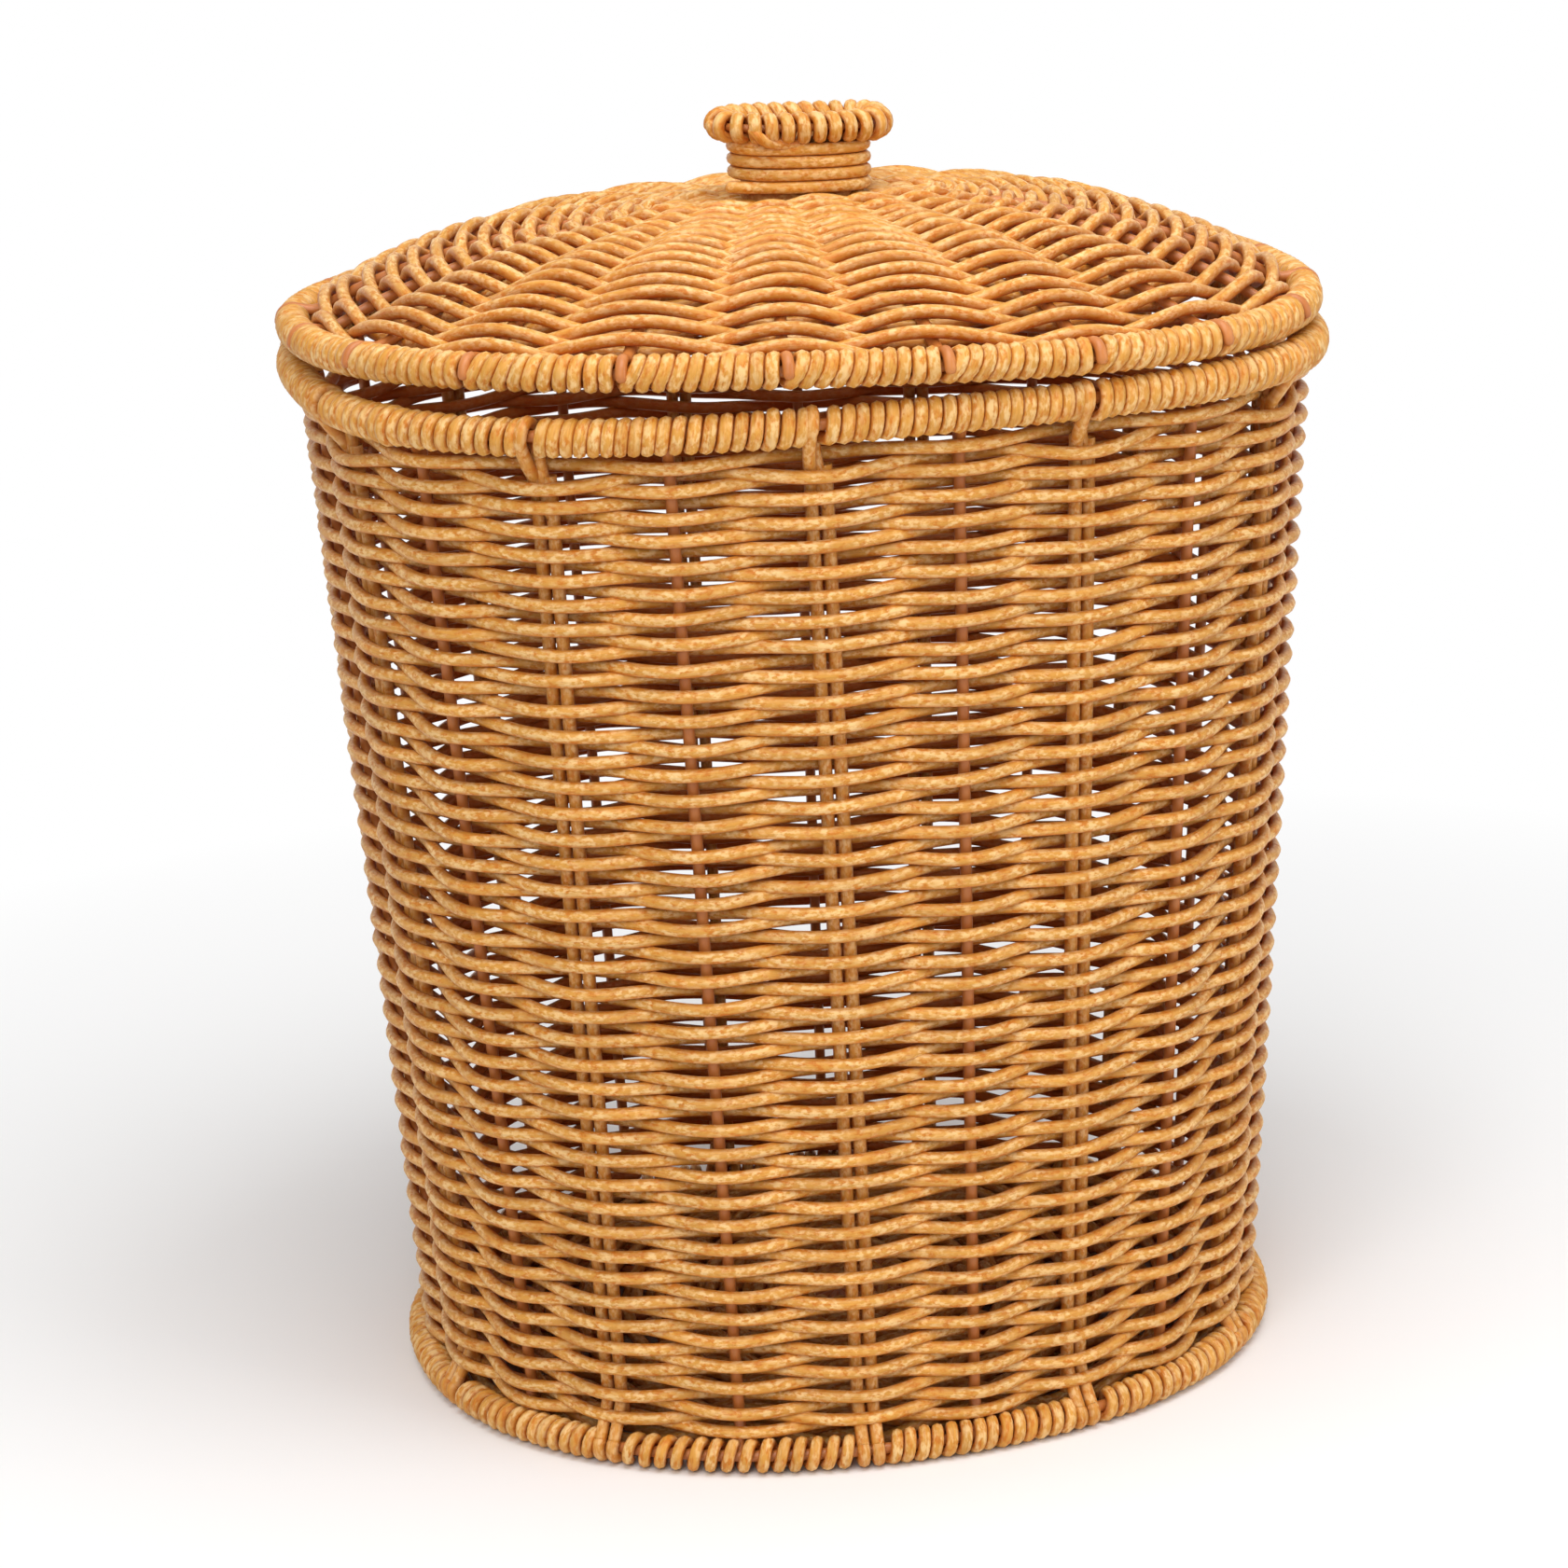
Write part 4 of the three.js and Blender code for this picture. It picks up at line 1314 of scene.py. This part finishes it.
    def build_neck(self) -> None:
        """Makes the winding of the neck: level turns that climb at the back, and a first end that sticks out."""
        low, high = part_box("knob_neck_winding")
        centre = (low + high) / 2
        strand = self.neck_strand
        oval = Oval((high.x - low.x - strand) / 2, (high.y - low.y - strand) / 2, self.neck_squareness)
        steps = 40
        turn = np.arange(self.neck_turns * steps + 1) / steps
        pitch = (high.z - low.z - strand) / self.neck_turns
        bottom = low.z + strand / 2 + self.neck_lift * pitch
        lap = np.floor(turn)
        climb = lap + smooth_step((turn - lap - 0.5) / self.neck_climb)
        climb = np.minimum(climb, self.neck_turns - self.neck_short)
        flat, _ = oval.at(turn + self.neck_start)
        height = bottom + pitch * climb + self.knob_tilt * flat[:, 0] + self.neck_hand * Unevenness(71).at(turn * 5)
        route = np.column_stack([flat + np.array([centre.x, centre.y]), height])
        first_end = np.array([[-10.0, 1.2, 0.8], [-6.6, 0.6, 0.5], [-3.2, 0.1, 0.2]]) * MM
        tube = Tube(np.vstack([route[:1] + first_end, route]), strand / 2, UP, 10, breadth=1.1)
        self.shop.piece("neck_winding", [tube], HONEY, Body.LID, "knob_neck_winding")
        self.shop.dress("knob_neck_core", CORE_IN_PAINTED_SHADE)

    def build_knob(self) -> None:
        """Makes the knob's small hoop and the strand that is coiled round it.

        Both are pressed down on the neck's uppermost turn and tilt a little, and the coil is fuller towards +X.
        """
        low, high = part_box("knob_ring_winding")
        reach = (self.knob_wire + self.knob_strand) / 2 + self.knob_slack
        outer = reach + self.knob_strand / 2
        centre = (low + high) / 2 - Vector((0.0, 0.0, self.knob_seat))
        middle = np.array([centre.x, centre.y])
        oval = Oval((high.x - low.x) / 2 - outer, (high.y - low.y) / 2 - outer, self.knob_squareness)
        steps = 20
        turn = np.arange(self.knob_turns * steps + 1) / steps
        uneven = Unevenness(72)
        angle = -2 * np.pi * turn
        place = (turn + self.knob_lean * np.sin(angle)) / (self.knob_turns + self.knob_gap) + 0.5
        flat, outward = oval.at(place + self.knob_share_hand * uneven.at(turn * 1.3))
        fuller = 1 + self.knob_fuller * smooth_step(flat[:, 0] / oval.half_length * 2 - 1)
        reach_now = reach * fuller + self.knob_hand * uneven.at(turn * 1.1 + 40)
        out = reach_now * np.cos(angle)
        height = centre.z + reach_now * np.sin(angle) + self.knob_tilt * flat[:, 0]
        route = np.column_stack([flat + outward * out[:, None] + middle, height])
        tube = Tube(route, self.knob_strand / 2, left_of(outward), breadth=self.knob_breadth)
        wire = Hoop(oval, centre.z).wire(self.knob_wire, steps=64)
        tilt = UP * self.knob_tilt * wire.route[:, :1]
        wire.route = wire.route + np.array([centre.x, centre.y, 0.0]) + tilt
        self.shop.piece("knob_hoop_wire", [wire], COATED_WIRE, Body.LID, "knob_ring_hoop")
        tubes = [tube, self.knob_tail(centre, oval, reach)]
        self.shop.piece("knob_winding", tubes, HONEY, Body.LID, "knob_ring_winding")

    def knob_tail(self, centre: Vector, oval: Oval, reach: float) -> Tube:
        """The strand's last stretch, from the front of the knob's left end down to the neck's uppermost turn.

        Args:
            centre: The middle of the knob.
            oval: The knob's hoop.
            reach: How far the middle of the strand lies from the hoop.

        Returns:
            The tube.
        """
        reaches = np.array([(-0.5, -0.1), (-0.85, -0.6), (-0.62, -1.15), (-0.1, -1.5), (0.25, -1.6)]) * reach
        along = np.array([-0.66, -0.6, -0.48, -0.25, 0.0]) * oval.half_length
        knots = np.column_stack([along, reaches[:, 0] - oval.half_width, reaches[:, 1]])
        beside_coil = np.array([-1.5, 0.5, 0.4]) * MM
        route = smooth_route(knots + np.array(centre) + beside_coil, 8)
        return Tube(route, self.knob_strand / 2, np.array([1.0, 0.0, 0.0]))


# The stage


@dataclass(frozen=True)
class Camera:
    """The photograph's view: a place round the basket, a direction and a focal length."""

    distance: float = 1.72381
    azimuth: float = -0.25194
    height: float = 0.739806
    yaw: float = 0.005439
    pitch: float = 0.286046
    roll: float = -0.04178
    picture: int = 1681
    focal_pixels: float = 4936.09
    centre_x: float = 849.75
    centre_y: float = 814.81
    sensor: float = 36.0

    def build(self) -> None:
        """Makes the camera and sets it as the scene's."""
        heading = self.azimuth + self.yaw
        level = Vector((math.cos(heading), math.sin(heading), 0.0))
        forward = Vector((-math.sin(heading), math.cos(heading), 0.0))
        ahead = forward * math.cos(self.pitch) - Vector(UP) * math.sin(self.pitch)
        upright = level.cross(ahead)
        right = level * math.cos(self.roll) + upright * math.sin(self.roll)
        up = upright * math.cos(self.roll) - level * math.sin(self.roll)
        place = (self.distance * math.sin(self.azimuth), -self.distance * math.cos(self.azimuth), self.height)
        data = bpy.data.cameras.new("photo_camera")
        data.sensor_width = self.sensor
        data.lens = self.focal_pixels / self.picture * self.sensor
        data.shift_x = (self.picture / 2 - self.centre_x) / self.picture
        data.shift_y = (self.centre_y - self.picture / 2) / self.picture
        camera = place_object("photo_camera", data)
        turn = Matrix((right, up, -ahead)).transposed()
        camera.matrix_world = Matrix.Translation(place) @ turn.to_4x4()
        bpy.context.scene.camera = camera


@dataclass(frozen=True)
class Lamp:
    """A square soft lamp that looks at the basket."""

    name: str
    place: tuple
    size: float
    power: float
    target: tuple = (0.0, 0.0, 0.22)

    def build(self) -> None:
        """Makes the lamp."""
        data = bpy.data.lights.new(self.name, "AREA")
        data.size = self.size
        data.energy = self.power
        lamp = place_object(self.name, data)
        lamp.location = self.place
        away = Vector(self.place) - Vector(self.target)
        lamp.rotation_euler = away.to_track_quat("Z", "Y").to_euler()


@dataclass(frozen=True)
class Studio:
    """A white room: a pale floor that keeps the shadow near the basket, a white background and soft lamps."""

    floor_half: float = 8.0
    floor_colour: tuple = (0.9, 0.9, 0.9, 1.0)
    floor_roughness: float = 0.9
    white: tuple = (1.0, 1.0, 1.0, 1.0)
    shadow_from: float = 0.28
    shadow_to: float = 0.75
    ambient: float = 0.4
    lamps: tuple = (
        Lamp("key_lamp", (-1.0, -1.7, 1.5), 1.3, 17.5),
        Lamp("fill_lamp", (1.5, -1.3, 0.9), 1.3, 10.0),
        Lamp("top_lamp", (0.0, -0.5, 1.9), 1.2, 23.0),
    )

    def paint_floor(self, graph: Graph) -> None:
        """Pale and lit near the basket, and plain white to the camera further off."""
        place = graph.add("ShaderNodeTexCoord").outputs["Object"]
        away = graph.add("ShaderNodeVectorMath", {0: place}, operation="LENGTH").outputs["Value"]
        far = graph.span(away, self.shadow_from, self.shadow_to)
        share = graph.maths("MULTIPLY", far, graph.seen_straight())
        look = {"Base Color": self.floor_colour, "Roughness": self.floor_roughness}
        lit = graph.add("ShaderNodeBsdfPrincipled", look).outputs[0]
        plain = graph.add("ShaderNodeEmission", {"Color": self.white, "Strength": 1.0}).outputs[0]
        mixed = graph.add("ShaderNodeMixShader", {0: share, 1: lit, 2: plain})
        graph.add("ShaderNodeOutputMaterial", {"Surface": mixed.outputs[0]})

    def paint_world(self, graph: Graph) -> None:
        """White to the camera, and dimmer as a light."""
        light, plain = (
            graph.add("ShaderNodeBackground", {"Color": self.white, "Strength": strength}).outputs[0]
            for strength in (self.ambient, 1.0)
        )
        mixed = graph.add("ShaderNodeMixShader", {0: graph.seen_straight(), 1: light, 2: plain})
        graph.add("ShaderNodeOutputWorld", {"Surface": mixed.outputs[0]})

    def build(self) -> None:
        """Makes the floor, the world and the lamps, and sets the view transform."""
        half = self.floor_half
        mesh = bpy.data.meshes.new("studio_floor")
        corners = [(-half, -half, 0.0), (half, -half, 0.0), (half, half, 0.0), (-half, half, 0.0)]
        mesh.from_pydata(corners, [], [(0, 1, 2, 3)])
        mesh.materials.append(bpy.data.materials.new("studio_floor"))
        self.paint_floor(Graph.emptied(mesh.materials[0]))
        floor = place_object("studio_floor", mesh)
        world = bpy.data.worlds.new("studio")
        self.paint_world(Graph.emptied(world))
        bpy.context.scene.world = world
        for lamp in self.lamps:
            lamp.build()
        bpy.context.scene.view_settings.view_transform = "Standard"


def main() -> None:
    """Builds the camera, the basket, the lid and the studio."""
    logging.basicConfig(level=logging.INFO, format="%(name)s %(message)s")
    Camera().build()
    shop = Workshop()
    Basket(shop).build()
    Lid(shop).build()
    Studio().build()


if __name__ == "__main__":
    main()
